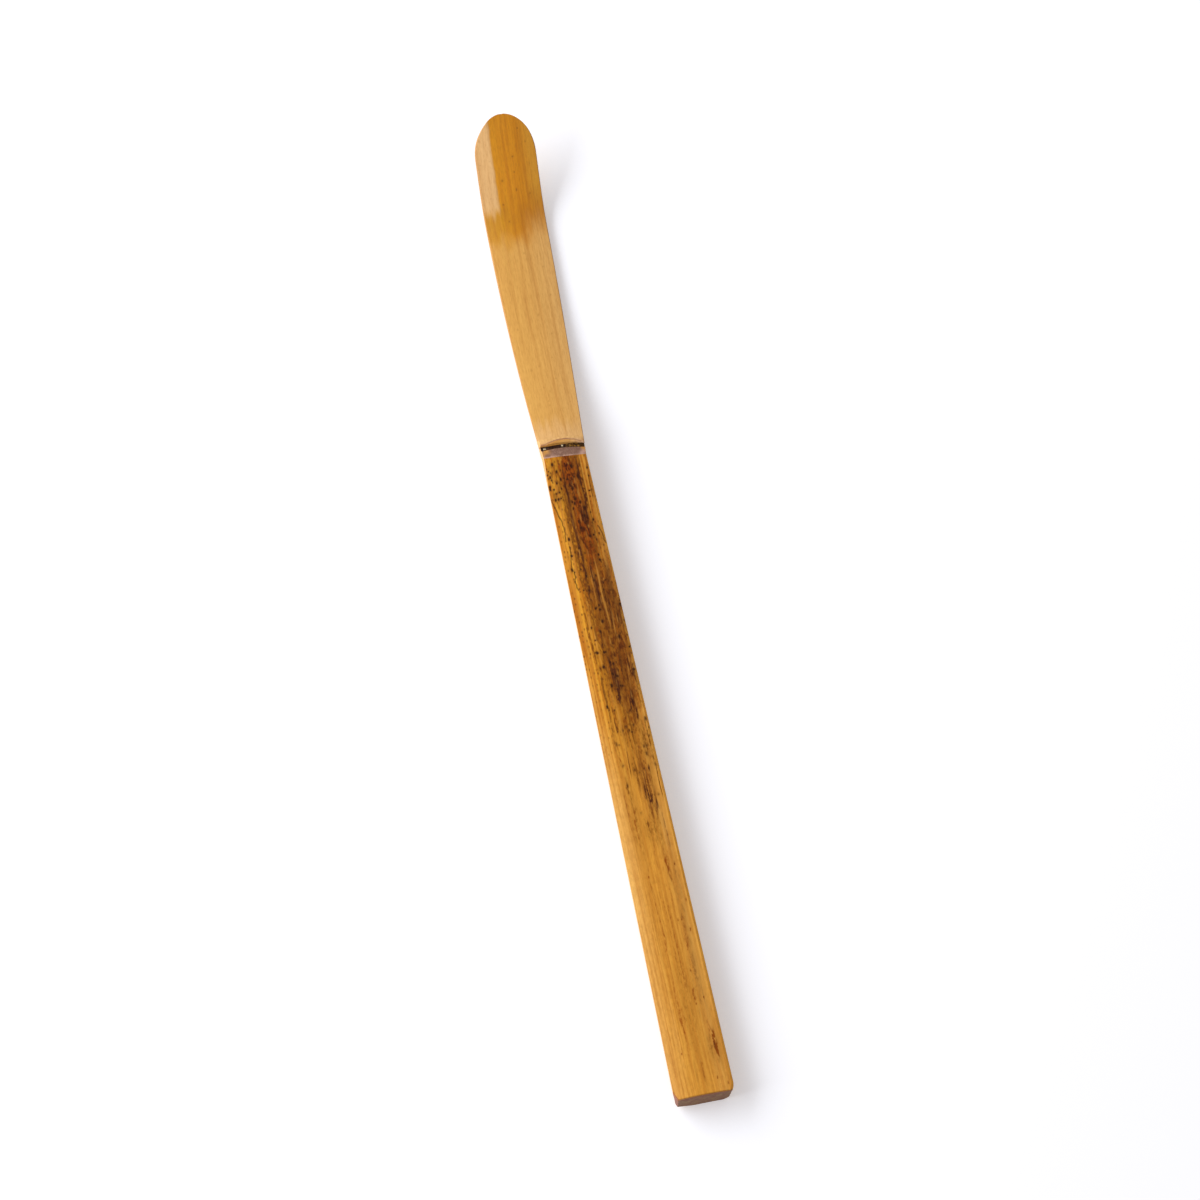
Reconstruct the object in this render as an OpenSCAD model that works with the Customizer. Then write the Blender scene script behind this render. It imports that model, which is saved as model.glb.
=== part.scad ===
// Tea scoop carved from one strip of bamboo and bent over heat.
// The strip grows as several tissues: skin, wood and the rings of its node.
// Each tissue is a solid of its own, and they meet face to face.
// X runs across the strip, Y from the cut end to the scoop, and Z is up.
// The strip lies on its back, with the flat of the handle and the heel on Z = 0.

/* [Handle] */
// Length from the cut end to the lower edge of the node band
handle_length = 116.2; // [80:0.1:150]
// Height of the skin above the table, which is the handle's thickness
handle_height = 4.6; // [3.6:0.1:6.5]
// Width at the cut end
butt_width = 10.9; // [7:0.1:14]
// Slant of the cut end, in degrees from square
butt_slant = 7; // [0:1:20]
// Width of the trimmed left corner of the cut end
corner_trim = 0.9; // [0.3:0.1:2]
// Length of that trim along the strip
trim_length = 2.2; // [1:0.1:6]
// Length of the flat back that rests on the table
foot_length = 62; // [30:1:90]

/* [Bamboo] */
// Outer radius of the culm that the strip was split from
culm_radius = 28; // [18:1:60]
// Thickness of the hard outer skin
skin_thickness = 0.35; // [0.2:0.05:0.5]
// Lean of the side faces towards the back, in degrees
side_lean = 7; // [0:1:14]
// Width of the facet planed along the right back edge, at 45 degrees
right_facet = 0.8; // [0.3:0.1:1.2]
// Width of the broad facet planed along the left back edge
left_facet = 2.8; // [0.6:0.1:3]
// Height of that broad facet
left_facet_height = 0.7; // [0.3:0.1:1.2]
// Rise of the hollowed back under the node
waist_rise = 1; // [0.4:0.1:1.6]

/* [Node] */
// Width of the strip at the lower edge of the node band
node_width = 7.9; // [6:0.1:11]
// Slant of the node rings across the strip, in degrees
node_slant = 4; // [0:0.5:8]
// Angle that the culm turns aside at its node, in degrees
node_turn = 1.3; // [0:0.1:3]
// Length of the bare band below the sheath scar
band_length = 1.8; // [0.8:0.1:4]
// Depth of the band's face below the skin
band_sink = 0.1; // [0.05:0.05:0.2]
// Length of the dark scar where the sheath grew
scar_length = 0.6; // [0.4:0.1:1.5]
// Depth of the scar's face below the skin
scar_sink = 0.4; // [0.25:0.05:0.45]
// Length of the raised lip above the scar
ridge_length = 1.1; // [0.4:0.1:2]
// Height of the lip above the skin
ridge_rise = 0.1; // [0.05:0.05:0.3]
// Depth of the node rings below the skin, down to the wood
ring_depth = 0.6; // [0.5:0.05:0.9]
// Thickness of the wall that closed the culm inside the node, whose root is left in the back
inner_wall = 1.6; // [1:0.1:2.2]
// Height of that root above the back
root_height = 1.2; // [0.8:0.1:1.6]

/* [Blade] */
// Length from the lip to the heel, where the bend begins
blade_length = 38.4; // [25:0.1:55]
// Thickness at the heel
heel_thickness = 1.7; // [1.3:0.1:2.4]
// Sharpness of the fall from the node to the heel
blade_fall = 2.7; // [2:0.1:4]

/* [Scoop] */
// Angle that the scoop is bent up from the blade
bend_angle = 27; // [15:1:50]
// Radius of the bend, on the skin side
bend_radius = 16; // [8:1:30]
// Length of the scoop past the bend
scoop_length = 14.6; // [10:0.1:25]
// Angle that the scoop itself curls up over its length
scoop_curl = 6; // [1:1:20]
// Greatest width of the scoop
scoop_width = 10.8; // [8:0.1:14]
// Length of the rounded end
round_length = 8.2; // [4:0.1:9.5]
// Thickness at the tip
tip_thickness = 0.9; // [0.7:0.05:1.2]
// Length of the bevel that thins the tip from the back
tip_bevel = 1.2; // [0.6:0.1:2]
// Distance of the natural crease from the middle of the scoop, on its left
crease_offset = 2.5; // [1.5:0.1:3.5]
// Slope of the shoulder beyond the crease, in degrees
shoulder_slope = 14; // [0:1:18]
// Depth of the dish beside the crease
dish_depth = 0.2; // [0:0.05:0.3]

/* [Hidden] */

skin_colour = "#A86F26";
wood_colour = "#D9A860";
root_colour = "#B98648";
band_colour = "#8F6E58";
scar_colour = "#2E1B10";
ridge_colour = "#C0924E";
blade_colour = "#DCA65A";

// Stations along the strip: the lower edge of the band is at y = handle_length
scar_start = handle_length + band_length;
ridge_start = scar_start + scar_length;
blade_start = ridge_start + ridge_length;
heel_y = blade_start + blade_length;
node_run = blade_start - handle_length;
bend_arc = bend_radius * bend_angle * PI / 180;
curl_radius = scoop_length / (scoop_curl * PI / 180);
blade_run = blade_length + bend_arc + scoop_length;

culm_axis_z = handle_height - culm_radius;
wood_radius = culm_radius - skin_thickness;
ring_core_radius = culm_radius - ring_depth;

// The hollow of the back is one long arc, from the end of the foot to the heel
waist_middle = (foot_length + heel_y) / 2;
waist_half = (heel_y - foot_length) / 2;
waist_radius = (waist_half * waist_half + waist_rise * waist_rise) / (2 * waist_rise);

reach = 400;          // larger than the strip every way
culm_facets = 240;
waist_cells = 24;     // straight runs that the long arc of the back is drawn in
skin_cells = 10;      // cells across the skin of the blade
back_cells = 6;       // and across its back, between the facets
blade_stations = 18;
bend_stations = 9;
scoop_stations = 7;
round_stations = 9;
last_round = 0.995;   // share of the rounded end where the flat of the tip cuts it
crowding = 1.4;       // how much closer the stations lie towards the node
fade_power = 3;       // how quickly the node's slant fades out along the blade
narrow_power = 2.35;  // how quickly the blade widens from the node
waist_facet = 0.15;   // width left of the back facets in the hollow under the node
widest_facet = 0.6;   // most that a back facet takes, as a share of the half width
scoop_facet_x = 0.42; // back facet of the scoop, as a share of its half width
scoop_facet_z = 0.55; // and of the thickness of its edge

function smooth(t) = let (c = min(1, max(0, t))) c * c * (3 - 2 * c);
function blend(a, b, t) = a + (b - a) * t;

// Depth of the culm's round face below its crown, at x
function sag(x) = culm_radius - sqrt(culm_radius * culm_radius - x * x);

// Height of the hollowed back at y
function back_z(y) = max(0, sqrt(waist_radius * waist_radius - pow(y - waist_middle, 2))
                            - waist_radius + waist_rise);

// v is the distance along the strip from the lip. These are the strip's sizes there
function past_heel(v) = max(0, v - blade_length);
function lean_angle(v) =
    min(bend_angle, past_heel(v) / bend_radius * 180 / PI)
    + max(0, past_heel(v) - bend_arc) / scoop_length * scoop_curl;
function scoop_share(v) = min(1, past_heel(v) / (blade_run - blade_length));

function crown(v) =
    v <= blade_length
    ? [blade_start + v,
       heel_thickness + (handle_height - heel_thickness) * pow(1 - v / blade_length, blade_fall)]
    : let (a = lean_angle(v), b = min(a, bend_angle))
      [heel_y + bend_radius * sin(b) + curl_radius * (sin(a) - sin(b)),
       heel_thickness + bend_radius * (1 - cos(b)) + curl_radius * (cos(b) - cos(a))];

function thickness(v) =
    v <= blade_length
    ? crown(v)[1] - back_z(blade_start + v)
    : blend(heel_thickness, tip_thickness, scoop_share(v));

function round_share(v) = max(0, 1 - (blade_run - v) / round_length);
function half_width(v) =
    let (full = blend(scoop_width, node_width, pow(max(0, 1 - (v + node_run) / (blade_run - round_length)),
                                                   narrow_power)))
    full / 2 * sqrt(max(0, 1 - pow(min(last_round, round_share(v)), 2)));

ridge_width = 2 * half_width(0);

// How far the scoop's own shape has taken over from the flat of the blade
function scoop_fade(v) = smooth(past_heel(v) / (bend_arc + scoop_length / 2));

// Depth of the skin's face below the crown line at x: round, with a shoulder and a dish in the scoop
function face_depth(v, x) =
    let (fade = scoop_fade(v),
         shoulder = max(0, -crease_offset - x) * tan(shoulder_slope),
         dish_half = (scoop_width / 2 + crease_offset) / 2,
         from_dish = (x + crease_offset - dish_half) / dish_half,
         dish = dish_depth * max(0, 1 - from_dish * from_dish))
    sag(x) * (1 - fade / 2) + fade * (shoulder + dish);

// The back is flat under the blade, and runs along with the face under the scoop
function back_depth(v, x) = thickness(v) + scoop_fade(v) * face_depth(v, x);

// A section's points lie in its own plane: x across, and depth below the crown line
function skin_row(v, sink) =
    let (w = half_width(v))
    [for (i = [0 : skin_cells]) let (x = w * (2 * i / skin_cells - 1)) [x, face_depth(v, x) + sink]];

function edge_corner(v, side) =
    let (w = half_width(v), share = smooth(v / blade_length),
         edge = back_depth(v, side * w) - face_depth(v, side * w) - skin_thickness,
         facet = blend(min(waist_facet, edge / 2), scoop_facet_z * edge, share))
    [side * (w - (edge - facet) * tan(side_lean)), back_depth(v, side * w) - facet];

function back_row(v) =
    let (right = edge_corner(v, 1), left = edge_corner(v, -1),
         facet = blend(waist_facet, scoop_facet_x * half_width(v), smooth(v / blade_length)),
         flat = min(right[0], -left[0]) - min(facet, widest_facet * half_width(v)))
    concat([right],
           [for (i = [0 : back_cells]) let (x = flat * (1 - 2 * i / back_cells)) [x, back_depth(v, x)]],
           [left]);

// How far the turn at the node has carried the blade to the right
function aside(v) = (crown(v)[0] - blade_start) * tan(node_turn);

// Puts a section's points in place. The first sections keep the slant of the node,
// and in the last ones the back falls short of the face by the bevel
function placed(v, points) =
    let (p = crown(v), a = lean_angle(v),
         slant = tan(node_slant) * pow(max(0, 1 - v / blade_length), fade_power),
         bevel = tip_bevel * pow(round_share(v), 2) / thickness(v))
    [for (q = points) [q[0] + aside(v), p[0] + q[1] * (sin(a) - bevel * cos(a)) - q[0] * slant,
                       p[1] - q[1] * (cos(a) + bevel * sin(a))]];

function reversed(list) = [for (i = [len(list) - 1 : -1 : 0]) list[i]];

stations = [
    for (i = [0 : blade_stations - 1]) blade_length * pow(i / blade_stations, crowding),
    for (i = [0 : bend_stations - 1]) blade_length + bend_arc * i / bend_stations,
    for (i = [0 : scoop_stations - 1])
        blade_length + bend_arc + (scoop_length - round_length) * i / scoop_stations,
    for (i = [0 : round_stations])
        blade_run - round_length * (1 - last_round * sin(90 * i / round_stations))
];

// The butt leans out at its foot, and the tip reaches as far as its last section does
butt_reach = handle_height * tan(butt_slant);
last_v = stations[len(stations) - 1];
tip_y = max([for (q = placed(last_v, skin_row(last_v, 0))) q[1]]);
middle_y = (tip_y - butt_reach) / 2;
right_x = max(butt_width / 2, max([for (v = stations) half_width(v) + aside(v)]));
middle_x = (right_x - butt_width / 2) / 2;

// A closed skin over rings that all have the same number of points
module loft(rings) {
    n = len(rings[0]);
    last = len(rings) - 1;
    sides = [for (k = [0 : last - 1], i = [0 : n - 1])
             let (a = k * n + i, b = k * n + (i + 1) % n)
             each [[a, b + n, b], [a, a + n, b + n]]];
    polyhedron([for (ring = rings) each ring],
               concat([[for (i = [0 : n - 1]) i]], sides, [reversed([for (i = [0 : n - 1]) last * n + i])]),
               convexity = 6);
}

// A bar of the culm, with its crown along the top of the strip
module culm_bar(radius) {
    translate([0, -reach / 2, culm_axis_z])
        rotate([-90, 0, 0]) cylinder(r = radius, h = reach, $fn = culm_facets);
}

module culm_shell(outer, inner) {
    difference() {
        culm_bar(outer);
        culm_bar(inner);
    }
}

// The hollowed back, seen from the side, as points of Y and Z
back_line = [for (i = [0 : waist_cells]) let (y = blend(foot_length, heel_y, i / waist_cells)) [y, back_z(y)]];

// Spreads a side view across the strip: its X becomes Y, and its Y becomes Z
module across() {
    translate([-reach / 2, 0, 0]) rotate([90, 0, 90]) linear_extrude(reach) children();
}

// Keeps what lies past the slanted cut end and above the table and the hollow of the back
module above_back() {
    intersection() {
        children();
        across() polygon(concat([[-butt_reach, 0]], back_line, [[heel_y, 2 * handle_height],
                                [butt_reach, 2 * handle_height]]));
    }
}

// Planes the sides and the back edges of the right (0) and the left (1), between two widths
module planed(y0, width0, y1, width1) {
    turn = atan((width0 - width1) / 2 / (y1 - y0));
    foot_half = width0 / 2 - handle_height * tan(side_lean);
    facet = [right_facet, left_facet];
    facet_angle = [45, atan(left_facet / left_facet_height)];
    difference() {
        children();
        for (side = [0, 1]) mirror([side, 0, 0]) {
            translate([width0 / 2, y0, handle_height]) rotate([0, 0, turn]) rotate([0, side_lean, 0])
                translate([0, -reach / 2, -reach / 2]) cube(reach);
            translate([foot_half - facet[side], y0, 0]) rotate([0, 0, turn])
                rotate([0, facet_angle[side], 0]) translate([0, -reach / 2, -reach / 2]) cube(reach);
        }
    }
}

// Trims the left corner of the cut end
module corner_trimmed() {
    difference() {
        children();
        translate([corner_trim - butt_width / 2, 0, 0]) rotate([0, 0, atan(corner_trim / trim_length)])
            translate([-reach, -reach / 2, -reach / 2]) cube(reach);
    }
}

// Keeps what lies between two planes that follow the slant of the node
module between(y0, y1) {
    intersection() {
        children();
        translate([0, y0, 0]) rotate([0, 0, -node_slant])
            translate([-reach / 2, 0, -reach / 2])
                cube([reach, (y1 - y0) * cos(node_slant), reach]);
    }
}

module handle_piece() {
    corner_trimmed() planed(0, butt_width, handle_length, node_width) above_back()
        between(handle_length - reach / 2, handle_length) children();
}

module node_piece(y0, y1) {
    planed(handle_length, node_width, blade_start, ridge_width) above_back() between(y0, y1) children();
}

module handle_wood() {
    color(wood_colour) handle_piece() culm_bar(wood_radius);
}

module handle_skin() {
    color(skin_colour) handle_piece() culm_shell(culm_radius, wood_radius);
}

// Holds the root of the inner wall, from the back up to its height
module wall_root_space() {
    middle = (handle_length + blade_start) / 2;
    between(middle - inner_wall / 2, middle + inner_wall / 2)
        across() polygon([[handle_length, 0], [blade_start, 0],
                          [blade_start, waist_rise + root_height], [handle_length, waist_rise + root_height]]);
}

module node_wood() {
    color(wood_colour) difference() {
        node_piece(handle_length, blade_start) culm_bar(ring_core_radius);
        wall_root_space();
    }
}

module inner_wall_root() {
    color(root_colour) intersection() {
        node_piece(handle_length, blade_start) culm_bar(ring_core_radius);
        wall_root_space();
    }
}

module node_band() {
    color(band_colour) node_piece(handle_length, scar_start)
        culm_shell(culm_radius - band_sink, ring_core_radius);
}

module sheath_scar() {
    color(scar_colour) node_piece(scar_start, ridge_start)
        culm_shell(culm_radius - scar_sink, ring_core_radius);
}

module node_ridge() {
    color(ridge_colour) node_piece(ridge_start, blade_start)
        culm_shell(culm_radius + ridge_rise, ring_core_radius);
}

module blade_wood() {
    color(wood_colour)
        loft([for (v = stations) placed(v, concat(skin_row(v, skin_thickness), back_row(v)))]);
}

module blade_skin() {
    color(blade_colour)
        loft([for (v = stations) placed(v, concat(skin_row(v, 0), reversed(skin_row(v, skin_thickness))))]);
}

translate([-middle_x, -middle_y, 0]) {
    handle_wood();
    handle_skin();
    node_wood();
    node_band();
    sheath_scar();
    node_ridge();
    inner_wall_root();
    blade_wood();
    blade_skin();
}
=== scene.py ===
"""A tea scoop carved from one strip of smoked bamboo, bent over heat, on a white table.

All sizes are millimetres in the strip's own frame: x runs across it, and s along it from the
cut end. The strip's back lies on the table, and its skin faces up.
"""
import math

import bpy
import numpy as np
from mathutils import Matrix, Vector


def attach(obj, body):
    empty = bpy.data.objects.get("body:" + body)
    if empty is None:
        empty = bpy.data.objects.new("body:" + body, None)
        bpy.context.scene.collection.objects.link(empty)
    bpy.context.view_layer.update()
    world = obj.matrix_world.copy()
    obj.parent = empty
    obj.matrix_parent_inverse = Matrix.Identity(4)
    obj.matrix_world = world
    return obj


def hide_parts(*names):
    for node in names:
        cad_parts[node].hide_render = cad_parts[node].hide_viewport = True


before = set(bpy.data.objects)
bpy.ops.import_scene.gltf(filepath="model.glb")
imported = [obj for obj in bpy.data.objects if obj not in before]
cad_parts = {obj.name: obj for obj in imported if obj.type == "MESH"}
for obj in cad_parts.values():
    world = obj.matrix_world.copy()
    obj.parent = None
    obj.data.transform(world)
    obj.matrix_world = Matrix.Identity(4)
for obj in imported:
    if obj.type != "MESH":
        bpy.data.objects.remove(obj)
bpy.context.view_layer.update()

# Camera: a long lens high above the table, leaning a little towards the cut end and the
# left side, and turned so that the scoop lies up and to the left.
MM = 0.001
PICTURE_PIXELS = 1200
PIXELS_PER_MM = 5.7316
LENS = 300.0
SENSOR = 36.0
LEAN_TO_END = math.radians(14.0)
LEAN_TO_LEFT = math.radians(7.0)
ROLL = math.radians(12.44)
RIGHT_OF_MIDDLE = 0.25
ABOVE_MIDDLE = 2.04
NEAREST = 100.0
FARTHEST = 10000.0

to_camera = Vector((-math.tan(LEAN_TO_LEFT), -math.tan(LEAN_TO_END), 1.0)).normalized()
level_right = (-to_camera).cross(Vector((0, 1, 0))).normalized()
level_up = level_right.cross(-to_camera)
picture_right = math.cos(ROLL) * level_right - math.sin(ROLL) * level_up
picture_up = math.sin(ROLL) * level_right + math.cos(ROLL) * level_up
camera_data = bpy.data.cameras.new("camera")
camera_data.lens = LENS
camera_data.sensor_width = SENSOR
camera_data.clip_start = NEAREST * MM
camera_data.clip_end = FARTHEST * MM
camera = bpy.data.objects.new("camera", camera_data)
camera_distance = PICTURE_PIXELS / PIXELS_PER_MM * LENS / SENSOR
camera_place = to_camera * camera_distance + picture_right * RIGHT_OF_MIDDLE + picture_up * ABOVE_MIDDLE
axes = Matrix((picture_right, picture_up, to_camera)).transposed().to_4x4()
camera.matrix_world = Matrix.Translation(camera_place * MM) @ axes
bpy.context.collection.objects.link(camera)
bpy.context.scene.camera = camera
bpy.context.scene.view_settings.view_transform = "Standard"


# Table and light: a white table under pale daylight from the whole room, with one long low
# window to the upper left that throws the soft shadow to the right.
def linear(colour):
    """Turns an sRGB hex colour into linear values."""
    parts = [int(colour[i:i + 2], 16) / 255 for i in (1, 3, 5)]
    return [p / 12.92 if p <= 0.04045 else ((p + 0.055) / 1.055) ** 2.4 for p in parts] + [1.0]


def add(tree, kind, settings=None, inputs=None):
    """Adds a shader node with its settings. Its inputs are values, hex colours or links."""
    made = tree.nodes.new("ShaderNode" + kind)
    for name, value in (settings or {}).items():
        if name == "stops":
            elements = made.color_ramp.elements
            for element, (place, colour) in zip(elements, (value[0], value[-1])):
                element.position = place
                element.color = linear(colour)
            for place, colour in value[1:-1]:
                elements.new(place).color = linear(colour)
        else:
            setattr(made, name, value)
    for name, value in (inputs or {}).items():
        if isinstance(value, bpy.types.Node):
            value = next(socket for socket in value.outputs if socket.enabled)
        if isinstance(value, bpy.types.NodeSocket):
            tree.links.new(value, made.inputs[name])
        else:
            made.inputs[name].default_value = linear(value) if isinstance(value, str) else value
    return made


def new_material(name):
    """An empty material, and its node tree."""
    material = bpy.data.materials.new(name)
    material.use_nodes = True
    material.node_tree.nodes.clear()
    return material, material.node_tree


TABLE_SIZE = 3000.0
TABLE_LIFT = 0.30
ROOM_LIGHT = 0.45
WINDOW_DISTANCE = 1000.0
WINDOW_WIDTH = 1450.0
WINDOW_HEIGHT = 590.0
WINDOW_WATTS = 15.3
WINDOW_RISE = math.radians(29)
WINDOW_TURN = math.radians(26)

# White painted board: a dead matt face that only shows the shadow.
board, tree = new_material("painted_board_matt")
path = add(tree, "LightPath")
seen = add(tree, "Math", {"operation": "MAXIMUM"}, {0: path.outputs["Is Camera Ray"],
                                                   1: path.outputs["Is Glossy Ray"]})
lift = add(tree, "Math", {"operation": "MULTIPLY"}, {0: seen, 1: TABLE_LIFT})
paint = add(tree, "BsdfDiffuse", {}, {"Color": "#E6EBF3"})
glow = add(tree, "Emission", {}, {"Color": "#FFF1EA", "Strength": lift})
both = add(tree, "AddShader", {}, {0: paint, 1: glow})
add(tree, "OutputMaterial", {}, {"Surface": both})
corner = TABLE_SIZE / 2 * MM
table_mesh = bpy.data.meshes.new("table")
table_mesh.from_pydata([(-corner, -corner, 0), (corner, -corner, 0), (corner, corner, 0),
                        (-corner, corner, 0)], [], [(0, 1, 2, 3)])
table_mesh.materials.append(board)
table = bpy.data.objects.new("table", table_mesh)
bpy.context.collection.objects.link(table)

world = bpy.data.worlds.new("pale_room")
bpy.context.scene.world = world
world.use_nodes = True
tree = world.node_tree
tree.nodes.clear()
path = add(tree, "LightPath")
seen = add(tree, "Math", {"operation": "MAXIMUM"}, {0: path.outputs["Is Camera Ray"],
                                                   1: path.outputs["Is Transmission Ray"]})
strength = add(tree, "MapRange", {}, {"Value": seen, "To Min": ROOM_LIGHT, "To Max": 1.0})
room = add(tree, "Background", {}, {"Color": "#FDFDFF", "Strength": strength})
add(tree, "OutputWorld", {}, {"Surface": room})

window_data = bpy.data.lights.new("window", "AREA")
window_data.shape = "RECTANGLE"
window_data.size = WINDOW_WIDTH * MM
window_data.size_y = WINDOW_HEIGHT * MM
window_data.energy = WINDOW_WATTS
window = bpy.data.objects.new("window", window_data)
from_window = Vector((-math.cos(WINDOW_RISE) * math.cos(WINDOW_TURN),
                      math.cos(WINDOW_RISE) * math.sin(WINDOW_TURN), math.sin(WINDOW_RISE)))
window.location = from_window * WINDOW_DISTANCE * MM
window.rotation_euler = from_window.to_track_quat("Z", "Y").to_euler()
bpy.context.collection.objects.link(window)

# Handle wood: the thick lower half of the strip, split from the culm and pared with a knife.
# Its sides lean in, the left back edge is a broad facet, and the cut end is sawn and pared.
BUTT_WIDTH = 10.9
NODE_WIDTH = 7.9
LIP_WIDTH = 8.335
HANDLE_HEIGHT = 4.6
BUTT_SLANT = math.tan(math.radians(7))
BUTT_SLANT_RUN = 6.0        # the cut end's slant has faded out at this station
SIDE_LEAN = math.tan(math.radians(7))
CULM_RADIUS = 28.0
SKIN_DEPTH = 0.35
HANDLE_END = 116.2
BLADE_START = 119.7
FOOT_END = 62.0
HEEL = 158.1
WAIST_RISE = 1.0
NODE_SLANT = math.tan(math.radians(4))
NODE_SLANT_START = 96.0     # from this station the strip takes on the node's slant
RIGHT_FACET = 0.8
LEFT_FACET = 2.8
LEFT_FACET_HEIGHT = 0.7
CORNER_TRIM = 0.75
TRIM_LENGTH = 1.6
TRIM_FACE = 0.12            # points this near to the trim's plane belong to its face
CORNER_WEAR = 0.5
WEAR_LENGTH = 1.6
PARE = 0.07
PARE_AT_NODE = 0.35
PARE_START = 110.5
PARE_RUN = 6.0
LEFT_OF_MIDDLE = 0.557
BUTT_TO_MIDDLE = 88.659
RIGHT_FACET_LEAST = 0.25
LEFT_FACET_LEAST = 0.12
LEAST_PARE = 0.01
KNEE_ROOM = 0.1             # the trim's lower end stays this far inside the left side
BAR_ROUNDS = [0, 0.2, 0.25, 0.35, 0.2, 0.05, 0]
BAR_CELLS = [12, 5, 44, 8, 7, 7]
TOP_CELLS = 22
FINE_FIBRES = (0.28, 7.0)   # width and length of one cell of the random field, as below
BROAD_FIBRES = (0.6, 16.0)
KNIFE_STROKES = (1.9, 7.0)
SKIN_ROOM = 0.12            # no cut comes this near to the skin
CUT_DEPTH = 0.035
STROKE_DEPTH = 1.4          # as a share of the depth of the fibre ridges
AROUND = 2.3                # how much a height counts in a pattern that runs round the sides
JOINT_EDGE = 0.01           # a ring this near to each joint keeps its edge sharp, with no seam
MOST_CUT = 0.45             # no rounding takes more than this share of a side
CLOUD_CELLS = 128
CLOUD_OFFSET = 640.0


def smooth(t):
    """Eases from 0 to 1."""
    t = np.clip(t, 0.0, 1.0)
    return t * t * (3 - 2 * t)


def cloud(x, s, across, along, seed):
    """A soft random field from 0 to 1, with cells of the given width and length."""
    values = np.random.default_rng(seed).random((CLOUD_CELLS, CLOUD_CELLS))
    u = np.asarray(x) / across + CLOUD_OFFSET
    v = np.asarray(s) / along + CLOUD_OFFSET
    i = np.floor(u).astype(int)
    j = np.floor(v).astype(int)
    a = smooth(u - i)
    b = smooth(v - j)
    i0, i1, j0, j1 = i % CLOUD_CELLS, (i + 1) % CLOUD_CELLS, j % CLOUD_CELLS, (j + 1) % CLOUD_CELLS
    low = values[i0, j0] * (1 - a) + values[i1, j0] * a
    high = values[i0, j1] * (1 - a) + values[i1, j1] * a
    return low * (1 - b) + high * b


def back_height(s):
    """Height of the hollowed back above the table."""
    middle = (FOOT_END + HEEL) / 2
    half = (HEEL - FOOT_END) / 2
    radius = (half * half + WAIST_RISE * WAIST_RISE) / (2 * WAIST_RISE)
    rise = np.sqrt(radius * radius - (s - middle) ** 2) - radius + WAIST_RISE
    return np.where((s > FOOT_END) & (s < HEEL), np.maximum(rise, 0), 0.0)


def full_half_width(s):
    """Half the width of the strip at the height of its crown, up to the lip of the node."""
    below = BUTT_WIDTH + (NODE_WIDTH - BUTT_WIDTH) * s / HANDLE_END
    above = NODE_WIDTH + (LIP_WIDTH - NODE_WIDTH) * (s - HANDLE_END) / (BLADE_START - HANDLE_END)
    return np.where(s < HANDLE_END, below, above) / 2


def arc_height(x, radius):
    """Height of a round face of the culm, whose crown is along the top of the strip."""
    return HANDLE_HEIGHT - CULM_RADIUS + np.sqrt(radius * radius - x * x)


def side_x(s, z):
    """How far the leaning side face stands out at height z."""
    return full_half_width(s) - (HANDLE_HEIGHT - z) * SIDE_LEAN


def top_edge(s, radius):
    """Where the side face meets a round face of the culm."""
    x = full_half_width(s)
    for _ in range(5):
        z = arc_height(x, radius)
        x = side_x(s, z)
    return x, z


def left_trim(s):
    """How far the trimmed corner of the cut end cuts back the left side."""
    return BUTT_WIDTH / 2 - CORNER_TRIM * (1 - s / TRIM_LENGTH)


def on_trim(x, s):
    """Where the surface is the face of the trimmed corner."""
    return (np.abs(x + left_trim(s)[:, None]) < TRIM_FACE) & (s[:, None] < TRIM_LENGTH)


def right_wear(s):
    """How far handling has rounded the right corner of the cut end."""
    return CORNER_WEAR * np.clip(1 - s / WEAR_LENGTH, 0, 1) ** 2


def node_pare(s):
    """Width of the facet pared along the left edge, which widens beside the node."""
    return PARE + (PARE_AT_NODE - PARE) * smooth((s - PARE_START) / PARE_RUN)


def softened(corners, cuts, cells, steps=4):
    """Points along an open line through corners, with each inner corner rounded off."""
    points = []
    last_leg = len(corners) - 2
    for k in range(last_leg + 1):
        start, end = corners[k], corners[k + 1]
        length = np.maximum(np.linalg.norm(end - start, axis=-1, keepdims=True), 1e-6)
        way = (end - start) / length
        first = start + way * np.minimum(cuts[k], MOST_CUT * length) if k else start
        last = end - way * np.minimum(cuts[k + 1], MOST_CUT * length) if k < last_leg else end
        share = np.linspace(0, 1, cells[k] + 1)[None, :-1, None]
        points.append(first[:, None] + (last - first)[:, None] * share)
        if k < last_leg:
            after = corners[k + 2] - end
            after_length = np.maximum(np.linalg.norm(after, axis=-1, keepdims=True), 1e-6)
            leave = end + after / after_length * np.minimum(cuts[k + 1], MOST_CUT * after_length)
            t = np.linspace(0, 1, steps + 1)[None, :-1, None]
            points.append((1 - t) ** 2 * last[:, None] + 2 * t * (1 - t) * end[:, None]
                          + t ** 2 * leave[:, None])
    return np.concatenate(points, axis=1)


def pair(x, z):
    """Points of a section from their two coordinates."""
    return np.stack(np.broadcast_arrays(x, z), axis=-1)


def outward(points):
    """Outward directions of closed sections that run clockwise, seen from the cut end."""
    along = np.roll(points, -1, axis=1) - np.roll(points, 1, axis=1)
    normal = np.stack([-along[..., 1], along[..., 0]], axis=-1)
    return normal / np.maximum(np.linalg.norm(normal, axis=-1, keepdims=True), 1e-9)


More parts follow.
